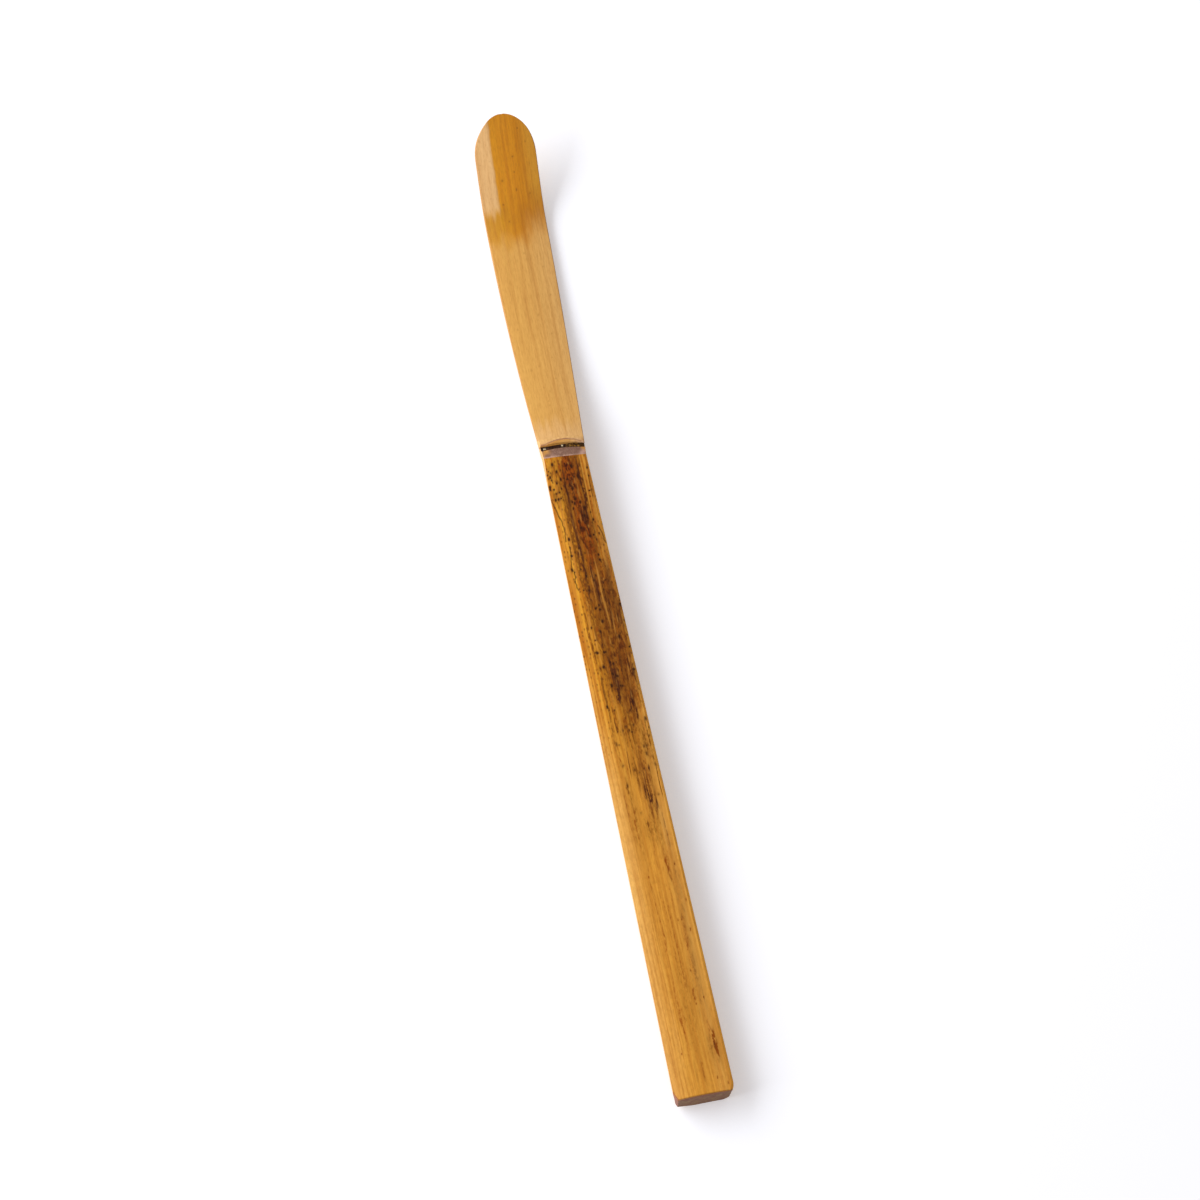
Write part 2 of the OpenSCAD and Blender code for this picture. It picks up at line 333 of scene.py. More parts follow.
def closed_mesh(name, rings, strip, materials, column_slots, cap_slots, fans, marks=None):
    """Makes a closed piece over rings of points, (ring, point, xyz) in mm in the row's frame."""
    count, size = rings.shape[:2]
    points = [rings.reshape(-1, 3)]
    places = [strip.reshape(-1, 3)]
    index = np.arange(count * size).reshape(count, size)
    turned = np.roll(index, -1, axis=1)
    faces = np.stack([index[:-1], index[1:], turned[1:], turned[:-1]], axis=-1).reshape(-1, 4).tolist()
    slots = [np.broadcast_to(column_slots, (count - 1, size)).reshape(-1)]
    total = count * size
    for end, fan, slot, order in ((0, fans[0], cap_slots[0], 1), (count - 1, fans[1], cap_slots[1], -1)):
        outer = index[end]
        if fan == 0:
            faces.append(outer[::order].tolist())
            slots.append([slot])
            continue
        middle, middle_place = rings[end].mean(axis=0), strip[end].mean(axis=0)
        for k in range(1, fan):
            share = 1 - k / fan
            points.append(middle + (rings[end] - middle) * share)
            places.append(middle_place + (strip[end] - middle_place) * share)
            inner = np.arange(total, total + size)
            total += size
            quad = [outer, np.roll(outer, -1), np.roll(inner, -1), inner]
            faces += np.stack(quad[::order], axis=-1).tolist()
            outer = inner
        points.append(middle[None])
        places.append(middle_place[None])
        triple = [outer, np.roll(outer, -1), np.full(size, total)]
        faces += np.stack(triple[::order], axis=-1).tolist()
        slots.append([slot] * (fan * size))
        total += 1
    mesh = bpy.data.meshes.new(name)
    mesh.from_pydata((np.concatenate(points) * MM).tolist(), [], faces)
    mesh.polygons.foreach_set("material_index", np.concatenate(slots).astype(np.int32))
    mesh.polygons.foreach_set("use_smooth", np.ones(len(faces), dtype=bool))
    layer = mesh.attributes.new("strip_mm", "FLOAT_VECTOR", "POINT")
    layer.data.foreach_set("vector", np.concatenate(places).astype(np.float32).reshape(-1))
    for label, values in (marks or {}).items():
        padded = np.zeros(total, dtype=np.float32)
        padded[:values.size] = values.reshape(-1)
        mesh.attributes.new(label, "FLOAT", "POINT").data.foreach_set("value", padded)
    for material in materials:
        mesh.materials.append(material)
    mesh.update()
    piece = bpy.data.objects.new(name, mesh)
    bpy.context.collection.objects.link(piece)
    return piece


def strip_mesh(name, x, s, z, *rest):
    """Makes a piece of the straight part of the strip from its places across, along and up."""
    rings = np.stack([x - LEFT_OF_MIDDLE, s - BUTT_TO_MIDDLE, z], axis=-1)
    return closed_mesh(name, rings, np.stack([x, s, HANDLE_HEIGHT - z], axis=-1), *rest)


RELIEF = 0.1


def in_cells(tree, cells):
    """Places along the strip, counted in cells of the given width, length and depth in mm."""
    place = add(tree, "Attribute", {"attribute_name": "strip_mm"})
    return add(tree, "Mapping", {}, {"Vector": place.outputs["Vector"], "Scale": [1 / mm for mm in cells]})


def surfaced(tree, colour, height, strength, roughness, ior):
    """Ends a material with one coat over a fine relief."""
    bump = add(tree, "Bump", {}, {"Strength": strength, "Distance": RELIEF * MM, "Height": height})
    shader = add(tree, "BsdfPrincipled", {}, {"Base Color": colour, "Roughness": roughness, "IOR": ior,
                                             "Normal": bump})
    add(tree, "OutputMaterial", {}, {"Surface": shader})


# Split bamboo wood: fibre bundles of about 0.4 mm run lengthwise as darker threads in pale
# pith, so a side shows fine straight lines and an end shows dots. Pared, and left unpolished.
BUNDLE = 0.4545


def fibre_tree(tree, pith, fibre, aged, rough, lines, relief):
    """Nodes of bamboo wood: threads, the pith between them and slow changes of tone."""
    bundles = add(tree, "TexVoronoi", {}, {"Vector": in_cells(tree, (BUNDLE, 20.0, BUNDLE)), "Scale": 1.0,
                                          "Randomness": 0.9})
    thread = add(tree, "ValToRGB", {"stops": [(0.12, "#FFFFFF"), (0.42, "#000000")]}, {"Fac": bundles})
    threads = add(tree, "Math", {"operation": "MULTIPLY"}, {0: thread, 1: lines})
    fine = add(tree, "TexNoise", {}, {"Vector": in_cells(tree, (0.2, 6.25, 0.2)), "Scale": 1.0,
                                      "Detail": 4.0, "Roughness": 0.6})
    fine_share = add(tree, "ValToRGB", {"stops": [(0.3, "#000000"), (0.7, "#FFFFFF")]}, {"Fac": fine})
    grain = add(tree, "Math", {"operation": "MULTIPLY"}, {0: fine_share, 1: 0.45})
    slow = add(tree, "TexNoise", {}, {"Vector": in_cells(tree, (2.0, 20.0, 2.0)), "Scale": 1.0})
    base = add(tree, "Mix", {"data_type": "RGBA"}, {0: threads, 6: pith, 7: fibre})
    grained = add(tree, "Mix", {"data_type": "RGBA"}, {0: grain, 6: base, 7: aged})
    tone = add(tree, "Mix", {"data_type": "RGBA", "blend_type": "OVERLAY"}, {0: 0.25, 6: grained, 7: slow})
    rise = add(tree, "Math", {"operation": "ADD"}, {0: fine, 1: threads})
    dull = add(tree, "MapRange", {}, {"Value": fine, "To Min": rough - 0.08, "To Max": rough + 0.08})
    surfaced(tree, tone, rise, relief, dull, 1.5)


split_wood, tree = new_material("bamboo_wood_split_pared")
fibre_tree(tree, "#DDB06A", "#A9763A", "#C08D4A", 0.58, 0.55, 0.5)

# The same wood freshly pared at an edge: paler and rosier, with hardly a thread showing.
pared_edge, tree = new_material("bamboo_edge_pared")
fibre_tree(tree, "#E2AD6E", "#C98B4C", "#D99C58", 0.5, 0.3, 0.3)

# The corner pared off beside the cut end, browned and reddened by the hand.
corner_wood, tree = new_material("bamboo_corner_pared_aged")
fibre_tree(tree, "#94563A", "#6E3C24", "#7E482E", 0.5, 0.4, 0.3)

# Cut across the fibres and gone grey with handling: dots of the fibre bundles in a
# grey-brown face, with paler and olive patches, and red-brown along its upper rim.
END_DOTS = 0.4167
END_PATCHES = 1.25

cut_end, tree = new_material("bamboo_end_grain_aged")
place = add(tree, "Attribute", {"attribute_name": "strip_mm"})
apart = add(tree, "SeparateXYZ", {}, {0: place.outputs["Vector"]})
flat = add(tree, "CombineXYZ", {}, {0: apart.outputs[0], 1: apart.outputs[2]})
bundles = add(tree, "TexVoronoi", {}, {"Vector": flat, "Scale": 1 / END_DOTS})
dot = add(tree, "ValToRGB", {"stops": [(0.15, "#FFFFFF"), (0.5, "#000000")]}, {"Fac": bundles})
blotch = add(tree, "TexNoise", {}, {"Vector": flat, "Scale": 1 / END_PATCHES, "Detail": 5.0,
                                    "Roughness": 0.65})
patches = add(tree, "ValToRGB", {"stops": [(0.3, "#7E4E38"), (0.45, "#8C6046"), (0.56, "#946E4A"),
                                           (0.7, "#A8805A")]}, {"Fac": blotch})
dot_share = add(tree, "Math", {"operation": "MULTIPLY"}, {0: dot, 1: 0.35})
dotted = add(tree, "Mix", {"data_type": "RGBA"}, {0: dot_share, 6: patches, 7: "#5A3E30"})
rim_share = add(tree, "MapRange", {}, {"Value": apart.outputs[2], "From Min": 0.3, "From Max": 1.3,
                                       "To Min": 0.75, "To Max": 0.0})
rimmed = add(tree, "Mix", {"data_type": "RGBA"}, {0: rim_share, 6: dotted, 7: "#8A4A30"})
surfaced(tree, rimmed, blotch, 0.5, 0.6, 1.3)


def bar_sections(s, top_radius):
    """Sections of the solid wood at stations s, clockwise from the left end of their top."""
    edge_x, edge_z = top_edge(s, top_radius)
    right = edge_x - right_wear(s)
    floor_z = back_height(s)
    foot = full_half_width(s) - HANDLE_HEIGHT * SIDE_LEAN
    trim = left_trim(s)
    pare = np.maximum(node_pare(s) - SKIN_DEPTH, LEAST_PARE)
    pared_x = np.minimum(edge_x - pare, trim)
    pared_z = edge_z - pare
    top_x = -pared_x[:, None] + (right + pared_x)[:, None] * np.linspace(0, 1, TOP_CELLS + 1)[None, :]
    top = pair(top_x, arc_height(top_x, top_radius))
    right_low_z = np.maximum(RIGHT_FACET / (1 - SIDE_LEAN), floor_z + RIGHT_FACET_LEAST)
    right_foot = np.minimum(foot - RIGHT_FACET + floor_z,
                            foot + floor_z * SIDE_LEAN - RIGHT_FACET_LEAST)
    slope = LEFT_FACET_HEIGHT / LEFT_FACET
    left_low_z = np.maximum(LEFT_FACET_HEIGHT / (1 - slope * SIDE_LEAN), floor_z + LEFT_FACET_LEAST)
    left_foot = np.minimum(foot - LEFT_FACET + floor_z / slope,
                           foot + floor_z * SIDE_LEAN - LEFT_FACET_LEAST)
    knee_z = np.clip(HANDLE_HEIGHT - (full_half_width(s) - trim) / SIDE_LEAN, left_low_z + KNEE_ROOM,
                     pared_z - KNEE_ROOM)
    corners = [pair(right, arc_height(right, top_radius)),
               pair(side_x(s, right_low_z) - right_wear(s), right_low_z),
               pair(right_foot - right_wear(s), floor_z),
               pair(-left_foot, floor_z),
               pair(-np.minimum(side_x(s, left_low_z), trim), left_low_z),
               pair(-np.minimum(side_x(s, knee_z), trim), knee_z),
               pair(-pared_x, pared_z)]
    return np.concatenate([top[:, :-1], softened(corners, BAR_ROUNDS, BAR_CELLS)], axis=1)


def knife_marks(around, s, depth):
    """Depth of the fibre ridges, and of the long shallow strokes of the knife."""
    ridges = cloud(around, s, *FINE_FIBRES, 11) * 0.6 + cloud(around, s, *BROAD_FIBRES, 12) * 0.4
    return depth * ridges + depth * STROKE_DEPTH * cloud(around, s, *KNIFE_STROKES, 13)


def carved(points, s, depth):
    """Cuts the marks of the knife into the wood, below the layer that meets the skin."""
    x, z = points[..., 0], points[..., 1]
    inward = knife_marks(x + AROUND * z, s[:, None] + 0 * x, depth)
    under = z < arc_height(x, CULM_RADIUS - SKIN_DEPTH) - SKIN_ROOM
    points = points - outward(points) * np.where(under, inward, 0.0)[..., None]
    return points[..., 0], points[..., 1]


def handle_at(x, s, z):
    """Stations of the handle: slanted at the cut end, and as the node is where they reach it."""
    s = s[:, None] + 0 * x
    node_slant = x * NODE_SLANT * smooth((s - NODE_SLANT_START) / (HANDLE_END - NODE_SLANT_START))
    butt_slant = (z - HANDLE_HEIGHT) * BUTT_SLANT * np.clip(1 - s / BUTT_SLANT_RUN, 0, 1)
    return s - node_slant + butt_slant


stations = np.concatenate([[0.0, 0.08, 0.2, 0.4, 0.65, 0.95, 1.3, 1.7, 2.1, 2.4],
                           np.linspace(2.8, HANDLE_END - JOINT_EDGE, 330), [HANDLE_END]])
x, z = carved(bar_sections(stations, CULM_RADIUS - SKIN_DEPTH), stations, CUT_DEPTH)
handle_wood = strip_mesh("handle_split_wood", x, handle_at(x, stations, z), z,
                         [split_wood, cut_end, corner_wood],
                         np.where(on_trim(x, stations), 2, 0)[:-1], (1, 0), (14, 3))
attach(handle_wood, "root")
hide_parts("handle_wood")

# Handle skin: the hard outer rind of the culm, still on the strip. Years of hearth smoke have
# stained it in long clouds, mould has pitted it near the node, and rubbing has polished it.
SKIN_CELLS = 86
SKIN_TURN = 6               # columns of skin that run on over the rounded right edge
FRAY_ALONG = 7              # stains fray this much more along the strip than across it
SOFTNESS = 1.4              # how sharply a stain or a spot ends
DEEPEST_CUT = 0.85          # a pared edge takes no more than this share of a layer
RIND_ROUND = 0.05
RIND_CELLS = (5, 3)
UNDER_CELLS = 12
FRAYS = ((0.7, 3.5), (0.35, 2.5))   # cells of the two fields that fray a stain
RAGGED = (0.13, 0.16)       # cells of the field that makes a spot ragged
HALO = 0.12                 # strength of the soft halo round a spot
RIGHT_ROUND = 0.42          # how far the skin's right edge is rounded in
CRACK_HALF = 0.11
CRACK_SHAKE = 0.16
PIT_SIZE = 0.18
FAINT_SIZE = 0.15
PITS_START = 62.0           # the pits grow from this station on, over this length
PITS_RUN = 14.0
DENSE_START = 60.0
DENSE_STEP = 0.13
RIM_LENGTH = 0.3
PIT_DEPTH = 0.025
GRAIN_DEPTH = 0.02
SWELL_DEPTH = 0.05


def shell_sections(s, outer, inner, top_cells, left_cut, right_cut):
    """Sections of a layer of the culm, clockwise from the left end of its round face.

    Gives their places across and up, where the face is, and which columns are the face (0).
    """
    edge_x = top_edge(s, outer)[0]
    right = edge_x - right_wear(s)
    left = np.minimum(edge_x, left_trim(s))
    deep = DEEPEST_CUT * (outer - inner)
    right_in, left_in = right - right_cut, left - left_cut
    top_x = -left_in[:, None] + (right_in + left_in)[:, None] * np.linspace(0, 1, top_cells + 1)[None, :]
    top = pair(top_x, arc_height(top_x, outer))
    right_down = arc_height(right, outer) - 0.5 * np.minimum(right_cut, deep)
    left_down = arc_height(left, outer) - np.minimum(left_cut, deep)
    low_right = np.minimum(right, side_x(s, arc_height(right, inner)))
    low_left = np.minimum(left, side_x(s, arc_height(left, inner)))
    corners = [top[:, -1], pair(right, right_down), pair(low_right, arc_height(low_right, inner))]
    right_run = softened(corners, [0, RIND_ROUND, 0], RIND_CELLS, 2)
    under = np.linspace(0, 1, UNDER_CELLS + 1)[None, :]
    low_x = low_right[:, None] - (low_right + low_left)[:, None] * under
    low = pair(low_x, arc_height(low_x, inner))[:, :-1]
    corners = [pair(-low_left, arc_height(low_left, inner)), pair(-left, left_down), top[:, 0]]
    left_run = softened(corners, [0, RIND_ROUND, 0], RIND_CELLS[::-1], 2)
    section = np.concatenate([top[:, :-1], right_run, low, left_run], axis=1)
    face = np.zeros(section.shape[:2])
    face[:, 1:top_cells] = 1
    columns = np.ones(section.shape[1])
    columns[:top_cells] = 0
    return section[..., 0], section[..., 1], face, columns


def long_patches(x, s, fray, seed, spots):
    """Long soft stains: each has a middle, half a width, half a length and a strength."""
    wave_x = (cloud(x, s, *FRAYS[0], seed) - 0.5) * fray
    wave_s = (cloud(x, s, *FRAYS[1], seed + 1) - 0.5) * fray * FRAY_ALONG
    total = np.zeros_like(x)
    for spot_x, spot_s, half, run, power in spots:
        near = ((x + wave_x - spot_x) / half) ** 2 + ((s + wave_s - spot_s) / run) ** 2
        total = np.maximum(total, power * np.exp(-near ** SOFTNESS))
    return total


def speckled(x, s, spots, size, seed):
    """Small ragged spots with soft halos at the given places, each of its own size and length."""
    ragged = 0.45 + 1.1 * cloud(x, s, *RAGGED, seed)
    draw = np.random.default_rng(seed)
    total = np.zeros_like(x)
    for spot_x, spot_s in spots:
        wide = size * draw.uniform(0.65, 1.25)
        high = wide * draw.uniform(0.8, 1.9)
        near = ((x - spot_x) / wide) ** 2 + ((s - spot_s) / high) ** 2
        total = np.maximum(total, np.exp(-(near / ragged) ** SOFTNESS) + HALO * np.exp(-near / 5))
    return np.minimum(total, 1)


def crack(x, s, path):
    """A thin crack along a path of points."""
    total = np.zeros_like(x)
    shake = (cloud(x * 0, s, 1.0, 0.5, 77) - 0.5) * CRACK_SHAKE
    for (x0, s0), (x1, s1) in zip(path[:-1], path[1:]):
        share = np.clip((s - s0) / (s1 - s0), 0, 1)
        outside = np.maximum(0, np.abs(s - (s0 + s1) / 2) - abs(s1 - s0) / 2)
        off = np.hypot(x + shake - x0 - (x1 - x0) * share, outside)
        total = np.maximum(total, np.exp(-(off / CRACK_HALF) ** 2))
    return total


# Stains and painted light by colour, as (x, s, half width, half length, strength)
# The pale list is partly painted sheen: its broad streak along the left edge stands for the window's light
# on the polish, and the rest are pale stains.
PALE_AND_SHEEN = [(-4.5, 46, 1.5, 24, 0.75), (-3.4, 30, 0.3, 9, 0.3), (-2.6, 12, 0.4, 6, 0.2),
        (3.1, 47.5, 0.4, 4, 0.35), (-4.2, 72, 0.7, 6, 0.3), (3.5, 98, 0.5, 5, 0.16)]
SMOKE = [(2, 80.5, 2.5, 8.5, 0.8), (1.9, 89.5, 2.6, 8, 0.75), (0.6, 102.5, 1.5, 9, 0.85),
         (0.4, 112.5, 1.5, 6, 0.95), (2.2, 71.5, 1.8, 3.2, 0.7), (0.2, 77, 1, 6, 0.6),
         (-0.9, 99, 0.6, 14, 0.45), (3, 95, 0.8, 4, 0.24), (1.8, 56, 1.1, 4.6, 0.65),
         (1.7, 52.4, 0.8, 1.6, 0.5), (-0.9, 112, 0.5, 4, 0.6)]
EMBER = [(0.1, 113.4, 1.3, 2.7, 1), (0.4, 107.6, 0.9, 2.8, 0.85), (0.3, 104.2, 1, 2.2, 0.8),
         (1.1, 99.6, 0.72, 4.4, 1), (1, 109.5, 0.35, 2, 0.6), (0.2, 99, 0.4, 5, 0.45),
         (0.5, 77, 0.35, 1.3, 0.5), (-0.8, 83, 0.3, 1.8, 0.55), (3.6, 9.9, 0.42, 2.1, 1.2),
         (0.1, 66.5, 0.5, 1.6, 0.25), (2.3, 70, 0.9, 1.6, 0.4), (-1.25, 30, 0.22, 14, 0.34),
         (-1.2, 14, 0.28, 9, 0.36), (-0.9, 14, 0.22, 2.4, 0.3), (0.25, 31, 0.2, 9, 0.32),
         (0.9, 27, 0.22, 9, 0.3), (1.65, 35, 0.16, 8, 0.26), (-2.1, 33, 0.14, 8, 0.24),
         (2.05, 17.5, 0.25, 2.4, 0.4), (2.65, 27, 0.34, 5, 0.3), (0.6, 4.5, 0.2, 2.4, 0.3),
         (-2.6, 51, 0.16, 5, 0.3), (-1.9, 60.2, 0.18, 0.9, 0.45), (-1.8, 63.6, 0.2, 0.8, 0.45),
         (-0.9, 60, 0.16, 3, 0.35), (-1.6, 48, 0.16, 4, 0.32), (0.6, 42.5, 0.2, 3, 0.3),
         (2.4, 42, 0.34, 3, 0.3)]
UMBER = [(1.9, 110.5, 0.3, 5, 0.8), (2.4, 98.8, 0.5, 4.5, 0.36), (2.7, 91, 0.8, 4.6, 0.22),
         (0.6, 90.5, 0.42, 3.6, 0.45), (-0.95, 111.4, 0.26, 2.4, 0.9),
         (0.1, 111.5, 0.4, 1.2, 0.6), (3.6, 9.1, 0.2, 0.8, 0.3), (-0.92, 99, 0.2, 7, 0.55),
         (1.35, 104.7, 0.42, 1.6, 2), (1.7, 103.5, 0.4, 0.8, 1.6), (3.3, 77.2, 0.7, 2.4, 0.6),
         (1.7, 78.3, 0.35, 1.6, 0.4), (0.3, 76.6, 0.55, 2.2, 0.7), (2.3, 69.6, 0.6, 1.5, 0.7),
         (0.3, 73.2, 0.4, 1.8, 0.75), (1.6, 69.2, 0.3, 1, 0.5), (2.05, 57.8, 0.35, 1.8, 0.6),
         (1.9, 53.4, 0.7, 1.4, 0.75), (2.6, 57.6, 0.25, 2.2, 0.5), (1, 52, 0.3, 0.7, 0.5),
         (2.6, 50.6, 0.5, 0.9, 0.35), (3.7, 87, 0.4, 3.5, 0.3), (-0.45, 82.5, 0.3, 2, 0.5),
         (-0.6, 91.5, 0.25, 1.2, 0.6), (3.2, 38, 0.9, 12, 0.14), (2.9, 20, 1, 9, 0.16),
         (2.2, 88.5, 0.3, 3, 0.4), (3, 85.4, 0.3, 2, 0.4), (0.4, 94.5, 0.2, 2, 0.4)]
OLIVE = [(-1.5, 99, 0.7, 13, 0.7), (-0.9, 97.5, 0.24, 12, 0.9), (-1.2, 91.5, 0.7, 4, 0.75),
         (-0.9, 86.5, 0.5, 6, 0.7), (1, 66, 1.9, 4.2, 0.45), (1.7, 62.5, 1.6, 3.5, 0.3),
         (-1.1, 67.3, 0.22, 2.6, 0.9), (-1.95, 72, 0.28, 8, 0.5), (-2.35, 83.5, 0.2, 6, 0.75),
         (-1.75, 56.4, 0.18, 1.6, 0.5), (-0.5, 60, 0.12, 2.5, 0.6), (0.5, 48, 0.16, 1.6, 0.8),
         (1.2, 47.5, 1.5, 3.5, 0.3), (-1.6, 50, 1.2, 8, 0.24), (3.6, 63.5, 0.9, 5, 0.4),
         (-1.7, 112, 0.8, 4.5, 0.4), (2.6, 74, 1.6, 5, 0.35), (1, 86, 1.6, 8, 0.25),
         (-0.7, 79, 0.7, 8, 0.6), (-1.2, 74, 0.5, 5, 0.45), (3.2, 101.5, 0.5, 8, 0.25),
         (0.4, 58.5, 0.6, 2.6, 0.45), (3.4, 47.5, 0.12, 3, 0.6), (4.1, 57.5, 0.15, 5, 0.6),
         (-2.2, 64, 0.12, 7, 0.35), (-3.3, 78, 0.14, 9, 0.3), (2.5, 110, 0.1, 6, 0.7),
         (2.9, 106.5, 0.12, 6, 0.6), (3.5, 110.5, 0.14, 4, 0.75), (-2.6, 114, 1, 2.4, 0.35),
         (-2.6, 109.5, 1.2, 2.6, 0.35), (-0.7, 4, 0.2, 3, 0.2), (0.6, 3.6, 0.3, 1.6, 0.2),
         (3.4, 7.8, 1.2, 3, 0.25), (0.45, 16, 1.2, 14, 0.2)]
# Painted glints and sheen, not stains: light spots beside the pits, and pale streaks where the polish
# catches the light.
GLINTS_AND_SHEEN = [(-1.9, 86, 0.18, 2.2, 0.8), (-1.6, 82, 0.14, 1.6, 0.9), (-1.5, 79, 0.16, 1.1, 0.6),
         (-0.45, 68.2, 0.18, 2.8, 0.85), (-0.4, 63, 0.2, 3, 0.4), (2.95, 61.4, 0.14, 0.8, 0.9),
         (2.85, 60.1, 0.12, 0.4, 0.6), (0.65, 50.9, 0.14, 0.3, 0.8), (0.6, 54.6, 0.14, 0.6, 0.7),
         (2.55, 111.5, 0.12, 4.5, 0.75), (3.1, 112.5, 0.14, 3.5, 0.7), (3.4, 106, 0.3, 3, 0.5),
         (0.3, 5.4, 0.2, 0.35, 0.7), (-2.5, 106, 0.3, 7, 0.5), (-3.3, 95, 0.4, 14, 0.35),
         (1.32, 92, 0.16, 4.4, 1), (1.5, 87.5, 0.12, 3.6, 0.8), (2.2, 85, 0.11, 2.4, 0.7),
         (0.12, 91.8, 0.1, 3.5, 0.5), (2.75, 74.5, 0.09, 2.6, 0.5), (1.2, 108.8, 0.1, 3, 0.5),
         (-2.2, 98, 0.2, 5, 0.6), (-3, 79, 0.3, 9, 0.35), (-0.9, 71.5, 0.3, 2, 0.4),
         (-0.75, 115.3, 0.16, 0.25, 0.9), (0.45, 115.5, 0.14, 0.25, 0.6),
         (3.3, 101.6, 0.2, 0.5, 0.8), (1.65, 103, 0.16, 0.3, 0.6), (-0.75, 103, 0.12, 0.2, 0.7),
         (-1.05, 98.9, 0.12, 0.3, 0.8), (2.05, 92.9, 0.14, 0.3, 0.9),
         (-1.6, 88.8, 0.14, 0.4, 0.7), (0.15, 86.1, 0.14, 0.4, 0.7)]

# Pits and cracks, as (x, s)
PITS = [(-3.7, 113.4), (-3.2, 112.9), (-3.05, 112.3), (-3.3, 114), (-3.6, 111.2), (-3.65, 110.8),
        (-3, 110.6), (-2.75, 109.8), (-2.15, 109.9), (-1.7, 110.5), (-2.4, 115.1), (-1.9, 113.7),
        (-1.5, 112.2), (-0.9, 112.3), (-3.1, 108.7), (-2.6, 108.7), (-2.1, 108.8), (-2.3, 111.6),
        (0.85, 114.1), (0.8, 114.3), (0.9, 112.2), (0.35, 112.1), (-0.35, 112), (0.15, 110.2),
        (0, 110.7), (-0.1, 110.9), (0.1, 108.6), (0.25, 108.2), (-0.35, 107.8), (0, 107.5),
        (1, 107.5), (1.6, 106.4), (-0.4, 106.6), (0.05, 104.2), (0.3, 102.9), (0.15, 102.9),
        (1.4, 101.2), (2.1, 101.3), (2.2, 97.6), (2.2, 96.7), (-0.95, 99.4), (-2.3, 101.3),
        (-2.45, 99.8), (-2.5, 98.3), (-2.95, 95.8), (-2.6, 95.3), (-1.4, 95.6), (-0.75, 94.2),
        (0.4, 93.2), (0.9, 94), (2.35, 92.9), (1.95, 92.5), (1.7, 91.2), (-0.85, 91.6),
        (-2.85, 93.6), (-1.7, 91.8), (3.5, 113.5), (3.5, 112), (1.6, 112.2), (3.1, 101.4),
        (3.05, 109.3), (2.4, 105.4), (2.6, 104), (-0.35, 88.2), (0.3, 88.6), (0.35, 87.9),
        (0.3, 85.7), (-1.8, 84.9), (-0.4, 83.9), (-1.65, 82.6), (2.65, 82.5), (-0.6, 80.2),
        (-0.35, 80.2), (-2.1, 80.4), (-1.75, 80.3), (0.55, 77.9), (0.1, 78.2), (-1.2, 77.6),
        (0, 76.2), (0.15, 76), (0.6, 75.7), (0.9, 75.6), (-0.55, 74.1), (1, 73.8), (1.35, 73.7),
        (0.25, 72.2), (-2.1, 70.5), (-1, 69.7), (0.85, 65.7), (0.35, 66.4), (1.2, 65.3),
        (-1.2, 65.8), (-1.9, 63.7), (-1.5, 63.4), (3.2, 62.5), (2.7, 62.4), (2.9, 61.1),
        (4.05, 67.3), (4.25, 65.6), (4.05, 64.2), (-0.3, 65.8), (1.7, 66.5), (1.3, 105),
        (1.6, 103.9), (0.9, 58), (0.2, 58.6), (-1.6, 56), (-1.6, 59.7), (-0.3, 50.8),
        (3.95, 76.3), (4, 88.3), (4, 80.4), (3.4, 53.6), (4, 59)]
FAINT_PITS = [(2.1, 43.3), (2.6, 37.6), (4.1, 34.4), (-1.4, 39.4), (2, 31), (2.6, 30.9),
              (3.8, 29), (2.7, 28.4), (2.7, 27.1), (2.7, 25.8), (2.7, 24.3), (2, 18.6),
              (1.95, 17), (1.95, 16), (-1.3, 25.9), (-2.4, 7.8), (2.8, 2.6), (3.5, 46.2),
              (2.1, 41.7), (3.5, 41), (2.2, 22), (3.4, 16.8), (4.5, 1.4)]
CRACKS = [[(-3.95, 109.2), (-3.6, 108), (-3.4, 106.8), (-3.2, 105.7), (-2.85, 104.8),
           (-2.75, 103.5), (-2.8, 102), (-2.85, 101)],
          [(-2.45, 100), (-2.5, 98.3), (-2.8, 97), (-2.95, 95.8), (-2.6, 95.3), (-2.65, 94.2),
           (-2.85, 93.6), (-2.75, 92.8), (-2.62, 92)],
          [(3.1, 102.8), (3.5, 102), (3.75, 101.2), (3.7, 100.2), (3.95, 99.6)]]

# Stations lie close together at the cut end, and from where the skin is pitted to the node.
stations = np.concatenate([[0.0, 0.1, 0.25, 0.45, 0.7, 1.0, 1.3], np.linspace(1.6, DENSE_START, 200),
                           np.arange(DENSE_START + DENSE_STEP, HANDLE_END, DENSE_STEP),
                           [HANDLE_END]])
x, z, face, columns = shell_sections(stations, CULM_RADIUS, CULM_RADIUS - SKIN_DEPTH, SKIN_CELLS,
                                     node_pare(stations), RIGHT_ROUND)
columns[SKIN_CELLS:SKIN_CELLS + SKIN_TURN] = 0
at = handle_at(x, stations, z)
pits = speckled(x, at, PITS, PIT_SIZE, 31) * (0.65 + 0.6 * smooth((at - PITS_START) / PITS_RUN))
pits = np.minimum(pits, 1)
faint = speckled(x, at, FAINT_PITS, FAINT_SIZE, 32)
cracks = np.max([crack(x, at, path_of) for path_of in CRACKS], axis=0)
fibres = cloud(x, at, 0.22, 9.0, 33) * 0.5 + cloud(x, at, 0.5, 14.0, 34) * 0.5
swell = cloud(x, at, 3.0, 18.0, 35)
rim = 0.5 * smooth((RIM_LENGTH - stations) / RIM_LENGTH)[:, None]
from_right = top_edge(stations, CULM_RADIUS)[0][:, None] - x
z = z - face * (PIT_DEPTH * (pits + cracks) + GRAIN_DEPTH * (faint + fibres) + SWELL_DEPTH * swell)
